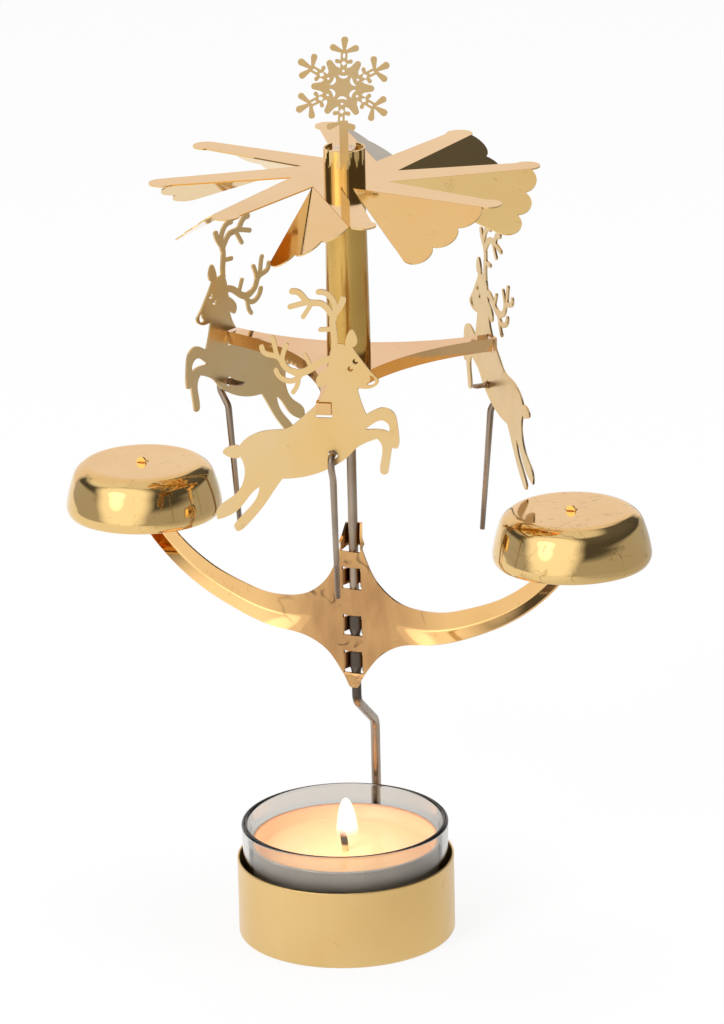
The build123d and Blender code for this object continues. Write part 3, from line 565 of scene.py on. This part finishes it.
# Base cup: a drawn brass cup with a small round at its foot and a thin rolled lip

baseCup = {"wall": 0.4, "footRound": 0.7, "lipRound": 0.18, "innerRound": 0.4, "segments": 192}


def makeBase():
    high = boxOf("base_cup")[1]
    radius, height, s = high[0] / mm, high[2] / mm, baseCup
    inner = radius - s["wall"]
    corners = [
        (0, 0, 0), (radius, 0, s["footRound"]), (radius, height, s["lipRound"]),
        (inner, height, s["lipRound"]), (inner, s["wall"], s["innerRound"]), (0, s["wall"], 0),
    ]
    base = lathe("baseCup", roundedLine(corners) * mm, (0, 0), s["segments"], closed=False)
    material = metalMaterial("baseBrass", finishes["baseBrass"], (0, 0))
    place(base, "stand", "base_brass", material, "base_cup")


makeBase()
print("base cup made")


# Bells: spun brass domes with a hole in the middle of the nearly flat top

bell = {
    "wall": 0.5, "holeRadius": 1.15, "topPoints": 22, "domePoints": 84, "segments": 176,
    "outline": [
        # shares of the radius and the height, from the edge of the flat top to the mouth
        (0.680, 1.000), (0.754, 0.980), (0.805, 0.936), (0.856, 0.873), (0.895, 0.784),
        (0.933, 0.618), (0.965, 0.451), (0.987, 0.294), (1.000, 0.157), (0.994, 0.069), (0.971, 0.000),
    ],
}


def bellOutline(radius, height):
    # Flat top out from the hole, then a smooth curve over the shoulder and in to the mouth
    dome = curveThrough(np.array(bell["outline"]) * (radius, height), bell["domePoints"])
    reach = np.linspace(bell["holeRadius"], dome[0, 0], bell["topPoints"])[:-1]
    plate = np.stack([reach, height + 0 * reach], axis=1)
    return np.concatenate([plate, dome])


def makeBell(side):
    low, high = boxOf("bell_" + side)
    centre = (low + high)[:2] / 2
    radius, top, height = (high - low)[0] / 2 / mm, high[2] / mm, (high - low)[2] / mm
    outside = bellOutline(radius, height)
    inside = bellOutline(radius - bell["wall"], height - bell["wall"])[::-1]
    profile = np.concatenate([outside, inside]) + (0, top - height)
    piece = lathe("bell" + side.title(), profile * mm, centre, bell["segments"])
    material = metalMaterial("bellBrass" + side.title(), finishes["bellBrass" + side.title()])
    place(piece, "bell_" + side + "_body", "bell_brass", material, "bell_" + side)


for side in ("left", "right"):
    makeBell(side)
print("bells made")


# Glass cup: clear tumbler with a thick floor and fire-polished edges

glass = {
    "footWall": 0.9, "rimWall": 1.2, "taper": 0.7, "floor": 4.5, "footRound": 1.5, "wellRound": 1.2,
    "rimFlat": 0.02, "roundSteps": 10, "segments": 176,
    # The grey colour is painted shade: it stands in for the dim room that the clear glass reflects.
    "colour": (0.68, 0.66, 0.62), "refraction": 1.5,
    "rippleStretch": (1, 1, 0.5), "rippleScale": 90.0, "rippleDepth": 0.03,
}


def makeGlass():
    low, high = boxOf("glass_cup")
    s = glass
    rim, bottom, top = high[0] / mm, low[2] / mm, high[2] / mm
    foot, rimRound = rim - s["taper"], s["rimWall"] / 2 - s["rimFlat"]
    corners = [
        (0, bottom, 0), (foot, bottom, s["footRound"]), (rim, top, rimRound),
        (rim - s["rimWall"], top, rimRound),
        (foot - s["footWall"], bottom + s["floor"], s["wellRound"]), (0, bottom + s["floor"], 0),
    ]
    profile = roundedLine(corners, s["roundSteps"]) * mm
    piece = lathe("glassCup", profile, (0, 0), s["segments"], closed=False)
    values = {
        "Base Color": rgba(s["colour"]), "Roughness": 0.0, "IOR": s["refraction"],
        "Transmission Weight": 1.0,
    }
    material, tree = startMaterial("clearGlass", values)[:2]
    ripple = noise(tree, objectPoint(tree, s["rippleStretch"]), s["rippleScale"], detail=1.0)
    addBump(material, calc(tree, "MULTIPLY", ripple, s["rippleDepth"] * mm))
    place(piece, "glass", "clear_glass", material, "glass_cup")
    piece.visible_shadow = False


makeGlass()
print("glass cup made")


# Tea light: aluminium cup with a rolled rim, wax with a melted pool, wick and sustainer

lightCup = {
    "rimWidth": 0.35, "rimDepth": 0.5, "wall": 0.2, "footRound": 0.8, "wellRound": 0.6,
    "rimRounds": (0.05, 0.16, 0.22, 0.1),  # from the rim's lower inner corner, out and over to the wall
    # the inner wall's tint is a painted reflection of the glowing wax and flame
    "roundSteps": 5, "segments": 160, "paintedGlowTint": (0.95, 0.58, 0.36), "paintedGlowEdge": 0.1,
}
aluminium = dict(
    brassBase, lacquer=0.0, colour=(0.82, 0.79, 0.75), deep=(0.66, 0.63, 0.60), roughness=0.32,
    roughSpread=0.16, brushStretch=(120, 40, 0), grainDepth=0.22, markCover=0.64, waveDepth=0.04,
    markColour=(0.2, 0.2, 0.2),
)


def makeLightCup():
    low, high = boxOf("tealight_cup")
    s = lightCup
    rim, bottom, top = high[0] / mm, low[2] / mm, high[2] / mm
    body = rim - s["rimWidth"]
    inner, under, rounds = body - s["wall"], top - s["rimDepth"], s["rimRounds"]
    corners = [
        (0, bottom, 0), (body, bottom, s["footRound"]), (body, under, rounds[0]),
        (rim, under, rounds[1]), (rim, top, rounds[2]), (inner, top, rounds[3]),
        (inner, bottom + s["wall"], s["wellRound"]), (0, bottom + s["wall"], 0),
    ]
    profile = roundedLine(corners, s["roundSteps"]) * mm
    piece = lathe("lightCup", profile, (0, 0), s["segments"], closed=False)
    material = metalMaterial("lightCupMetal", aluminium, (0, 0))
    # Painted reflection: the inner wall is tinted peach, for the glowing wax and flame that it reflects
    reach = farFrom(material.node_tree, (0, 0, 0), (1, 1, 0))
    inside = fitRange(material.node_tree, reach, (inner + s["paintedGlowEdge"]) * mm, inner * mm)
    tintBase(material, inside, s["paintedGlowTint"])
    place(piece, "tealight", "cup_aluminium", material, "tealight_cup")


wax = {
    "poolLevel": 3.0,  # below the cup's rim
    "filmTop": 0.2,
    "filmStart": 0.91,  # share of the radius at which the film climbs the wall
    "filmRise": 3,  # the power of its climb
    "edgeWaves": [(0.010, 3, 0.6), (0.006, 5, 2.1), (0.003, 11, 0)],  # size, waves round, phase
    "play": 0.02, "fineFrom": 0.97, "rings": 30, "segments": 160,
    # near the flame the wax has painted flame light: a warmer colour and a glow of its own
    "colour": (0.93, 0.50, 0.30), "flameLitColour": (1.0, 0.66, 0.30), "glowColour": (1.0, 0.56, 0.26),
    "glowAbove": 3, "glowReach": 19.0, "glowFull": 4, "glowNear": 0.62, "glowFar": 0.28,
    "cloudScale": 220.0, "cloudFit": (0.2, 0.8, 0.92, 1.08),
    "look": {
        "Roughness": 0.25, "Subsurface Weight": 0.3, "Subsurface Radius": (1.0, 0.6, 0.3),
        "Subsurface Scale": 0.003, "IOR": 1.44, "Coat Weight": 0.3, "Coat Roughness": 0.05,
    },
}


def makeWax():
    # A melted pool, whose edge climbs the cup's wall as a thin film
    low, high = boxOf("wax")
    s = wax
    rim = boxOf("tealight_cup")[1][2] / mm
    radius, level = high[0] / mm - s["play"], rim - s["poolLevel"]
    start = radius * s["filmStart"]
    fine = start * s["fineFrom"]
    reach = np.r_[np.linspace(0, fine, s["rings"]), np.linspace(fine, radius, s["rings"])[1:]]
    turns = np.linspace(0, 2 * pi, s["segments"], endpoint=False)
    waves = (size * np.sin(count * turns + phase) for size, count, phase in s["edgeWaves"])
    edge = start * sum(waves, 1)
    rise = np.clip((reach[:, None] - edge) / (radius - edge), 0, 1)
    height = level + (s["poolLevel"] - s["filmTop"]) * rise ** s["filmRise"]
    top = np.stack([reach[:, None] * np.cos(turns), reach[:, None] * np.sin(turns), height], axis=-1)
    floor = low[2] / mm
    wall = np.stack([radius * np.cos(turns), radius * np.sin(turns), floor + 0 * turns], axis=-1)[None]
    middle = np.array([0, 0, floor]) + 0 * wall
    piece = meshFromGrid("wax", np.concatenate([top, wall, middle]) * mm, closedColumns=True)
    values = dict(s["look"])
    values.update({"Base Color": rgba(s["colour"]), "Emission Color": rgba(s["glowColour"])})
    material, tree, shader = startMaterial("candleWax", values)
    # Painted flame light: near the flame the wax turns warmer and glows, patchy with a noise
    distance = farFrom(tree, (0, 0, (level + s["glowAbove"]) * mm))
    near = fitRange(tree, distance, s["glowReach"] * mm, s["glowFull"] * mm)
    cloud = noise(tree, objectPoint(tree), s["cloudScale"], detail=3.0)
    near = calc(tree, "MULTIPLY", near, fitRange(tree, cloud, *s["cloudFit"]))
    colour = mixColours(tree, near, rgba(s["colour"]), rgba(s["flameLitColour"]))
    glow = fitRange(tree, near, 0.0, 1.0, s["glowFar"], s["glowNear"])
    feed(tree, shader, {"Base Color": colour, "Emission Strength": glow})
    place(piece, "tealight", "candle_wax", material, "wax")


wick = {
    "bendFrom": 0.72, "bendSpan": 0.28, "bendPower": 1.6, "bendShare": 0.9,  # shares of height and lean
    "twist": 26, "strands": 2, "groove": 0.13, "taper": 0.25, "taperFrom": 0.9, "taperSpan": 0.1,
    "rings": 90, "segments": 20,
    "cotton": (0.95, 0.62, 0.30), "char": (0.03, 0.018, 0.012), "emberColour": (1.0, 0.30, 0.05),
    "charStart": 3.1, "charFull": 2.5, "emberStart": 1.1,  # below the tip
    "ember": 2.4, "fleckScale": 1600.0, "fleckFit": (0.4, 0.6, 0.4, 1.0), "roughness": 0.9,
}


def makeWick():
    # A braided cord: a thin tube that leans over, its radius rippled along and around
    s = wick
    low, high = boxOf("wick")
    radius, foot, tip = (high - low)[1] / 2 / mm, low[2] / mm, high[2] / mm
    lean = low[0] / mm + radius
    up = np.linspace(0, 1, s["rings"])
    bend = np.clip((up - s["bendFrom"]) / s["bendSpan"], 0, 1) ** s["bendPower"]
    line = np.stack([lean * s["bendShare"] * bend, foot + (tip - foot) * up], axis=1)
    turns = np.linspace(0, 2 * pi, s["segments"], endpoint=False)
    grooves = np.abs(np.sin(s["twist"] * pi * up[:, None] + s["strands"] * turns))
    narrow = np.clip((up[:, None] - s["taperFrom"]) / s["taperSpan"], 0, 1)
    braid = 1 - s["groove"] * grooves - s["taper"] * narrow
    reach = radius * braid
    grid = np.stack([
        line[:, :1] + reach * np.cos(turns), reach * np.sin(turns), line[:, 1:] + 0 * turns
    ], axis=-1)
    ends = [np.broadcast_to((line[i, 0], 0, line[i, 1]), (1, s["segments"], 3)) for i in (0, -1)]
    grid = np.concatenate([ends[0], grid, ends[1]])
    piece = meshFromGrid("wick", grid * mm, closedColumns=True)
    values = {"Roughness": s["roughness"], "Emission Color": rgba(s["emberColour"])}
    material, tree, shader = startMaterial("charredWick", values)
    height = pointHeight(tree)
    burnt = fitRange(tree, height, (tip - s["charStart"]) * mm, (tip - s["charFull"]) * mm)
    colour = mixColours(tree, burnt, rgba(s["cotton"]), rgba(s["char"]))
    ember = fitRange(tree, height, (tip - s["emberStart"]) * mm, tip * mm, 0.0, s["ember"])
    fleck = fitRange(tree, noise(tree, objectPoint(tree), s["fleckScale"]), *s["fleckFit"])
    ember = calc(tree, "MULTIPLY", ember, fleck)
    feed(tree, shader, {"Base Color": colour, "Emission Strength": ember})
    place(piece, "tealight", "wick_cotton", material, "wick")


flame = {
    "bottom": 17.5, "top": 27.9, "centre": (0.43, 0.18), "lean": -0.25,
    "heights": [0, 0.05, 0.14, 0.25, 0.36, 0.5, 0.62, 0.75, 0.87, 0.95, 1.0],
    "halves": [0, 1.2, 1.9, 2.2, 2.2, 2.0, 1.83, 1.55, 1.13, 0.7, 0],
    "points": 70, "segments": 48,
    "lowColour": (1.0, 0.72, 0.36), "highColour": (1.0, 0.97, 0.90), "coreRange": (0.1, 0.38),
    "edgeColour": (1.0, 0.80, 0.42), "edgeBlend": 0.3, "strength": 1.5,
    "bodyFit": (0.28, 0.50, 0.08, 1.0), "edgeFit": (0.75, 1.0, 1.0, 0.35),
}


def makeFlame():
    # An egg on its blunt end, whose half widths are joined by a smooth curve; clear at its foot
    s = flame
    outline = curveThrough(list(zip(s["halves"], s["heights"])), s["points"])
    half, up = np.clip(outline[:, :1], 0, None), outline[:, 1:]
    turns = np.linspace(0, 2 * pi, s["segments"], endpoint=False)
    grid = np.stack([
        s["centre"][0] + s["lean"] * up ** 2 + half * np.cos(turns),
        s["centre"][1] + half * np.sin(turns),
        s["bottom"] + (s["top"] - s["bottom"]) * up + 0 * turns,
    ], axis=-1)
    piece = meshFromGrid("flame", grid * mm, closedColumns=True)
    material, tree = startEmpty("flameGlow")
    share = fitRange(tree, pointHeight(tree), s["bottom"] * mm, s["top"] * mm)
    facing = addNode(tree, "LayerWeight", {"Blend": s["edgeBlend"]}).outputs["Facing"]
    rise = fitRange(tree, share, *s["coreRange"])
    core = mixColours(tree, rise, rgba(s["lowColour"]), rgba(s["highColour"]))
    colour = mixColours(tree, facing, core, rgba(s["edgeColour"]))
    glow = addNode(tree, "Emission", {"Color": colour, "Strength": s["strength"]})
    clear = addNode(tree, "BsdfTransparent")
    body, edge = fitRange(tree, share, *s["bodyFit"]), fitRange(tree, facing, *s["edgeFit"])
    solid = calc(tree, "MULTIPLY", body, edge)
    mixed = addNode(tree, "MixShader", {0: solid, 1: clear.outputs[0], 2: glow.outputs[0]})
    addNode(tree, "OutputMaterial", {"Surface": mixed.outputs[0]})
    piece.visible_shadow = False
    place(piece, "tealight", "candle_wax", material)


tin = dict(aluminium, colour=(0.62, 0.62, 0.6))
makeLightCup()
makeWax()
makeWick()
makeFlame()
placeCopy(
    "wick_sustainer", "wickSustainer", "tealight", "sustainer_tin", metalMaterial("sustainerTin", tin)
)
print("tea light made")


# Rod and strikers of drawn steel wire

steel = dict(
    brassBase, lacquer=0.0, colour=(0.42, 0.33, 0.25), deep=(0.30, 0.23, 0.17), roughness=0.24,
    roughSpread=0.14, brushStretch=(2500, 2500, 60), grainDepth=0.002, toneScale=120.0, markCover=0.5,
)
steelWire = metalMaterial("steelWire", steel)
rod = {
    # painted shade: a near-black band on the rod past the bracket, for the shade and dark reflections
    # there
    "paintedShadeHeights": (45.5, 64.3), "paintedShadeEdge": 0.6, "paintedShadeColour": (0.10, 0.08, 0.065),
    "radius": 0.95, "crankAboveGlass": 12.9, "crankRise": 9.2, "bend": 3.0, "needle": 3.2, "tip": 0.17,
    "flatWide": 1.25, "flatDeep": 0.6, "flatEnd": 0.7, "flats": [(59.7, 63.9), (51.8, 56.3)],
    "bendSteps": 14, "fineAbove": 1.2, "rings": 220, "sides": 32,
}


def makeRod():
    # One path from the socket, over the crank and up to the needle; its section turns from a circle to a
    # flat oval where the rod is swaged between the bracket's straps
    s = rod
    low, high = boxOf("stand_rod")
    foot = np.array([low[0] / mm + s["radius"], high[1] / mm - s["radius"]])
    offset = spindle / mm - foot
    run = hypot(*offset)
    crankLow = boxOf("glass_cup")[1][2] / mm + s["crankAboveGlass"]
    crankHigh = crankLow + s["crankRise"]
    bottom, top = low[2] / mm, high[2] / mm
    corners = [(0, bottom, 0), (0, crankLow, s["bend"]), (run, crankHigh, s["bend"]), (run, top, 0)]
    line = roundedLine(corners, s["bendSteps"])
    upright = np.linspace(crankHigh + s["bend"] + s["fineAbove"], top, s["rings"])[:, None]
    line = np.concatenate([line[:-1], np.concatenate([run + 0 * upright, upright], axis=1)])
    height = line[:, 1]
    flat = np.zeros(len(line))
    for start, end in s["flats"]:
        depth = np.minimum(ease((height - start) / s["flatEnd"]), ease((end - height) / s["flatEnd"]))
        flat = np.maximum(flat, depth)
    point = np.clip((height - top + s["needle"]) / s["needle"], 0, 1)
    radius = s["radius"] + (s["tip"] - s["radius"]) * point
    wide = radius + (s["flatWide"] - s["radius"]) * flat
    deep = radius + (s["flatDeep"] - s["radius"]) * flat
    origin = (*(foot * mm), 0)
    piece = tubeAlong("standRod", line * mm, origin, offset, wide * mm, deep * mm, s["sides"])
    material = metalMaterial("rodSteel", steel)
    # Painted shade: the rod is tinted near black between these heights, for the shade and dark
    # reflections by the bracket
    shadeBand = heightBand(material.node_tree, *s["paintedShadeHeights"], s["paintedShadeEdge"])
    tintBase(material, shadeBand, s["paintedShadeColour"])
    place(piece, "stand", "rod_steel", material, "stand_rod")


striker = {
    "radius": 0.675, "head": -3.4, "neck": -0.5, "crook": (2.3, 0), "drop": (2.3, -2.2),
    "back": (0.3, -5.2), "end": (-1.9, -30.0), "bends": (1.1, 2.0, 2.5),
    "headWide": 1.4, "headDeep": 0.23, "headRings": 24, "flatStart": 0.1, "flatEnd": 0.9,
    "cornerEnd": 0.8, "cornerShare": 0.45, "tipShare": 0.75, "bendSteps": 10, "sides": 24,
}


def makeStriker(number):
    # The path starts at the flattened head behind the figure, comes through its hole and hangs down
    s = striker
    name = "striker_" + str(number)
    hinge = joints[name + "_swing"]
    hole = np.array(hinge["pos_m"])
    out = (-hinge["axis"][1], hinge["axis"][0])
    corners = [
        (s["neck"], 0, 0), (*s["crook"], s["bends"][0]), (*s["drop"], s["bends"][1]),
        (*s["back"], s["bends"][2]), (*s["end"], 0),
    ]
    line = roundedLine(corners, s["bendSteps"])
    lead = np.linspace(s["head"], s["neck"], s["headRings"])[:-1, None]
    line = np.concatenate([np.concatenate([lead, 0 * lead], axis=1), line])
    ring, x = np.arange(len(line)), line[:, 0]
    flat = np.where(ring < len(lead), ease((s["neck"] - s["flatStart"] - x) / s["flatEnd"]), 0)
    corner = np.where(ring < len(lead), ease((x - s["head"]) / s["cornerEnd"] + s["cornerShare"]), 1)
    end = np.where(ring < len(line) - 1, 1, s["tipShare"])
    wide = (s["radius"] + (s["headWide"] - s["radius"]) * flat) * corner * end
    deep = (s["radius"] + (s["headDeep"] - s["radius"]) * flat) * end
    piece = tubeAlong("striker" + str(number), line * mm, hole, out, wide * mm, deep * mm, s["sides"])
    place(piece, name + "_body", "rod_steel", steelWire, name)


makeRod()
for number in (1, 2, 3):
    makeStriker(number)
socketBrass = metalMaterial("socketBrass", finishes["hubBrass"])
placeCopy("rod_socket", "rodSocket", "stand", "base_brass", socketBrass)
print("rod, socket and strikers made")


# Bracket: a polished sheet star. Between its slits the rod passes behind the flush straps and in
# front of the strips that are pressed back, and the arms' lower edges curl forward.

bracket = {
    "sheet": 0.5, "shoulder": 4.0, "seat": 0.6,
    "upper": [(0.030, 0.744), (0.057, 0.542), (0.120, 0.318), (0.229, 0.177), (0.386, 0.141),
              (0.523, 0.191), (0.686, 0.303), (0.839, 0.498), (0.919, 0.704)],
    "lower": [(0.020, -0.495), (0.057, -0.375), (0.131, -0.224), (0.229, -0.137), (0.386, -0.101),
              (0.523, -0.032), (0.719, 0.123), (0.882, 0.336), (0.991, 0.578)],
    "straps": [(-0.495, -0.385), (-0.215, -0.095), (0.060, 0.260), (0.426, 0.545)],
    "slitHalf": 2.05, "rodHalf": 0.95, "rodGap": 0.05, "gap": 0.65,
    "crease": 0.45, "creaseHalf": 5.5,
    "sweepFrom": 3, "sweepShare": 0.85,  # the arms' sweep back to the bells
    "curl": 1.7, "fold": 0.46, "bend": 0.22, "lift": 0.34,
    "curlFrom": 0.07, "curlFull": 0.30, "curlEnd": 0.06,
    "edgePoints": 500, "slitColumns": 7, "armColumns": 90, "bandRows": 7, "fanShare": 0.22,
    "strip": {"columns": 31, "rows": 5, "flatHalf": 0.8},
    "tab": {
        "width": 2.0, "above": 1.15, "below": 0.5, "rows": 15, "columns": 7,
        "roundFrom": 0.45, "roundSpan": 0.55, "roundness": 0.97,
    },
    "wear": {
        "worn": (0.40, 0.20, 0.08), "wornNear": 7.0, "wornFar": 20.0, "wornMost": 0.85, "wornUp": 0.75,
        "streakStretch": (260, 260, 90), "streakFit": (0.3, 0.7, 0.7, 1.15),
        "lineScale": 60.0, "lineWidth": 0.016, "lineCover": 0.5, "lineMost": 0.85,
        "lineColour": (0.06, 0.03, 0.012),
        "crimped": 51.4, "crimpEdge": 0.3, "pitScale": 1100.0, "pitDepth": 0.35,
    },
}


def resample(line, count):
    # The same line with its points evenly spaced
    at = np.concatenate([[0], np.cumsum(np.linalg.norm(np.diff(line, axis=0), axis=1))])
    even = np.linspace(0, at[-1], count)
    return np.stack([np.interp(even, at, line[:, axis]) for axis in range(2)], axis=1)


def makeBracket():
    # Ruled between the upper and lower edge curves. Near the middle the ruling is upright, so that the
    # slits are straight rows; y is the sum of a sweep back to the bells, a crease and the curl.
    s = bracket
    low, high = boxOf("bell_bracket")
    low, high = low / mm, high / mm
    middle = spindle / mm
    reach = (high[0] - low[0] - s["shoulder"]) / 2
    shoulder = high[2] - s["seat"]
    rise = (shoulder - low[2]) / (1 - s["lower"][0][1])
    root = shoulder - rise
    bellFront = high[1] - s["sheet"]
    edges = []
    for shares, end in ((s["lower"], 1), (s["upper"], -1)):
        points = [(x * reach, z * rise) for x, z in shares] + [(reach + end * s["shoulder"] / 2, rise)]
        edges.append(curveThrough(points, s["edgePoints"]))
    inner = np.linspace(0, s["slitHalf"], s["slitColumns"])
    knots = np.array([level for strap in s["straps"] for level in strap][1:]) * rise
    steps = s["bandRows"]
    marks = np.linspace(0, 1, steps * (len(knots) + 1) + 1)
    rows = []
    for x in inner:
        ends = [np.interp(x, edge[:, 0], edge[:, 1]) for edge in edges]
        levels = np.interp(marks, np.linspace(0, 1, len(knots) + 2), [ends[0], *knots, ends[1]])
        rows.append(np.stack([x + 0 * levels, levels], axis=1))
    span = (rows[-1][:, 1] - ends[0]) / (ends[1] - ends[0])
    outer = []
    for edge, end in zip(edges, ends):
        past = np.concatenate([[(inner[-1], end)], edge[edge[:, 0] > inner[-1]]])
        outer.append(resample(past, s["armColumns"]))
    along = np.linspace(0, 1, s["armColumns"])
    blend = ease(along / s["fanShare"])[:, None]
    shares = span * (1 - blend) + marks * blend
    ruled = outer[0][:, None] + shares[..., None] * (outer[1] - outer[0])[:, None]
    half = np.concatenate([np.array(rows), ruled[1:]])
    along = np.concatenate([0 * inner, along[1:]])[:, None]
    share = np.concatenate([np.broadcast_to(span, (len(inner), len(marks))), shares[1:]])
    x, z = half[..., 0], half[..., 1]
    front = middle[1] - s["rodHalf"] - s["rodGap"] - s["sheet"]
    pressed = middle[1] + s["rodHalf"] + s["rodGap"]
    sweep = (bellFront - front - s["crease"]) * ease((x - s["sweepFrom"]) / (reach * s["sweepShare"]))
    crease = s["crease"] * np.clip(x / s["creaseHalf"], 0, 1)
    strength = ease((along - s["curlFrom"]) / (s["curlFull"] - s["curlFrom"]))
    strength = strength * ease((1 - along) / s["curlEnd"])
    past, bend = np.clip(1 - share / s["fold"], 0, 1), s["bend"]
    curl = s["curl"] * strength * np.where(past < bend, past**2 / (2 * bend), past - bend / 2)
    topBand = marks * (len(knots) + 1) > len(knots) + 0.5 / steps
    channel = ease((s["slitHalf"] - x) / (s["slitHalf"] - s["rodHalf"])) * topBand
    y = front + sweep + crease - curl + channel * (pressed - front)
    z = z + s["lift"] * curl
    halves = [np.stack([middle[0] + side * x, y, root + z], axis=-1) for side in (-1, 1)]
    grid = np.concatenate([halves[0][:0:-1], halves[1]])
    count = len(x) - 1
    faces = np.ones((grid.shape[0] - 1, grid.shape[1] - 1), bool)
    inside = slice(count - len(inner) + 1, count + len(inner) - 1)
    edge = front + s["crease"] * s["slitHalf"] / s["creaseHalf"]
    sheets = [(grid, faces)]
    for window in range(1, len(knots), 2):
        faces[inside, window * steps:(window + 1) * steps] = False
        bottom, top = root + knots[window - 1] + s["gap"], root + knots[window] - s["gap"]
        sheets.append((pressedStrip(middle, bottom, top, edge, pressed), None))
    faces[inside, len(knots) * steps:len(knots) * steps + 1] = False
    for side in (-1, 1):
        sheets.append((bellTab(middle[0] + side * reach, bellFront, shoulder, high[2]), None))
    piece = sheetFromGrids("bellBracket", sheets, s["sheet"] * mm)
    place(piece, "stand", "bracket_brass", bracketMaterial(middle, root), "bell_bracket")


def bracketMaterial(middle, root):
    # Coppery and worn round the rod, with a few dark wavy lines; its foot is crimped rough
    s = bracket["wear"]
    material = metalMaterial("bracketBrass", finishes["bracketBrass"])
    tree = material.node_tree
    centre = (middle[0] * mm, 0, root * mm)
    distance = farFrom(tree, centre, (1, 0, s["wornUp"]))
    worn = fitRange(tree, distance, s["wornFar"] * mm, s["wornNear"] * mm)
    streak = noise(tree, objectPoint(tree, s["streakStretch"]), 1.0, detail=3.0)
    streak = fitRange(tree, streak, *s["streakFit"])
    tintBase(material, calc(tree, "MULTIPLY", worn, streak, s["wornMost"]), s["worn"])
    lines = hairlines(tree, objectPoint(tree), s["lineScale"], s["lineWidth"], s["lineCover"])
    tintBase(material, calc(tree, "MULTIPLY", lines, worn, s["lineMost"]), s["lineColour"])
    pits = noise(tree, objectPoint(tree), s["pitScale"])
    foot = heightBand(tree, 0, s["crimped"], s["crimpEdge"])
    addBump(material, calc(tree, "MULTIPLY", pits, foot, s["pitDepth"] * mm))
    return material


def pressedStrip(middle, bottom, top, level, pressed):
    # A strip of the sheet, pressed back to pass behind the rod
    half, strip = bracket["slitHalf"], bracket["strip"]
    x = np.linspace(-1, 1, strip["columns"]) * half
    y = level + (pressed - level) * ease((half - np.abs(x)) / (half - strip["flatHalf"]))
    z = np.linspace(bottom, top, strip["rows"])
    return np.stack(np.broadcast_arrays(middle[0] + x[:, None], y[:, None], z), axis=-1)


def bellTab(x, y, shoulder, top):
    # A tongue that narrows to a round top above the bell
    s = bracket["tab"]
    up = np.linspace(0, 1, s["rows"])
    height = shoulder - s["below"] + (top + s["above"] - shoulder + s["below"]) * up
    narrow = np.clip((up - s["roundFrom"]) / s["roundSpan"], 0, 1) ** 2 * s["roundness"]
    half = s["width"] / 2 * np.sqrt(np.clip(1 - narrow, 0, 1))
    across = np.linspace(-1, 1, s["columns"])
    sides = x + half[:, None] * across
    return np.stack(np.broadcast_arrays(sides, y + 0 * across, height[:, None]), axis=-1)


def sheetFromGrids(name, sheets, thickness):
    # Open grids become one mesh of thin sheet, thickened towards the back
    points, quads, offset = [], [], 0
    for grid, faces in sheets:
        count = grid.shape[0] * grid.shape[1]
        index = offset + np.arange(count).reshape(grid.shape[:2])
        cells = np.stack([index[:-1, :-1], index[1:, :-1], index[1:, 1:], index[:-1, 1:]], axis=-1)
        quads.append(cells.reshape(-1, 4) if faces is None else cells[faces])
        points.append(grid.reshape(-1, 3) * mm)
        offset += count
    mesh = bpy.data.meshes.new(name)
    mesh.from_pydata(np.concatenate(points).tolist(), [], np.concatenate(quads).tolist())
    draft = newObject(name + "Draft", mesh)
    solid = draft.modifiers.new("thickness", "SOLIDIFY")
    solid.thickness = thickness
    solid.offset = -1.0
    solid.use_even_offset = True
    bpy.context.view_layer.update()
    thick = bpy.data.meshes.new_from_object(draft.evaluated_get(bpy.context.evaluated_depsgraph_get()))
    bpy.data.objects.remove(draft)
    thick.name = name
    return finishMesh(name, thick, sharpAngle=35)


makeBracket()
print("bracket made")


# Carousel: spider, tube, hub, rotor, figures and topper

spiderBrass = metalMaterial("spiderBrass", finishes["spiderBrass"])
tubeBrass = metalMaterial("tubeBrass", finishes["tubeBrass"], spindle)
hubBrass = metalMaterial("hubBrass", finishes["hubBrass"])
for node, name, slot, material in (
    ("spider", "spider", "sheet_brass", spiderBrass),
    ("spindle_tube", "spindleTube", "tube_brass", tubeBrass),
    ("hub_collar", "hubCollar", "tube_brass", hubBrass),
    ("pivot_cap", "pivotCap", "tube_brass", hubBrass),
):
    placeCopy(node, name, "carousel", slot, material)
bladeBrass = metalMaterial("bladeBrass", finishes["bladeBrass"])
figureBrass = metalMaterial("figureBrass", finishes["figureBrass"])
for node, material in (
    ("rotor", bladeBrass), ("snowflake_topper", figureBrass),
    ("reindeer_1", figureBrass), ("reindeer_2", figureBrass), ("reindeer_3", figureBrass),
):
    nodes[node].data.materials.clear()
    nodes[node].data.materials.append(material)
print("carousel made")
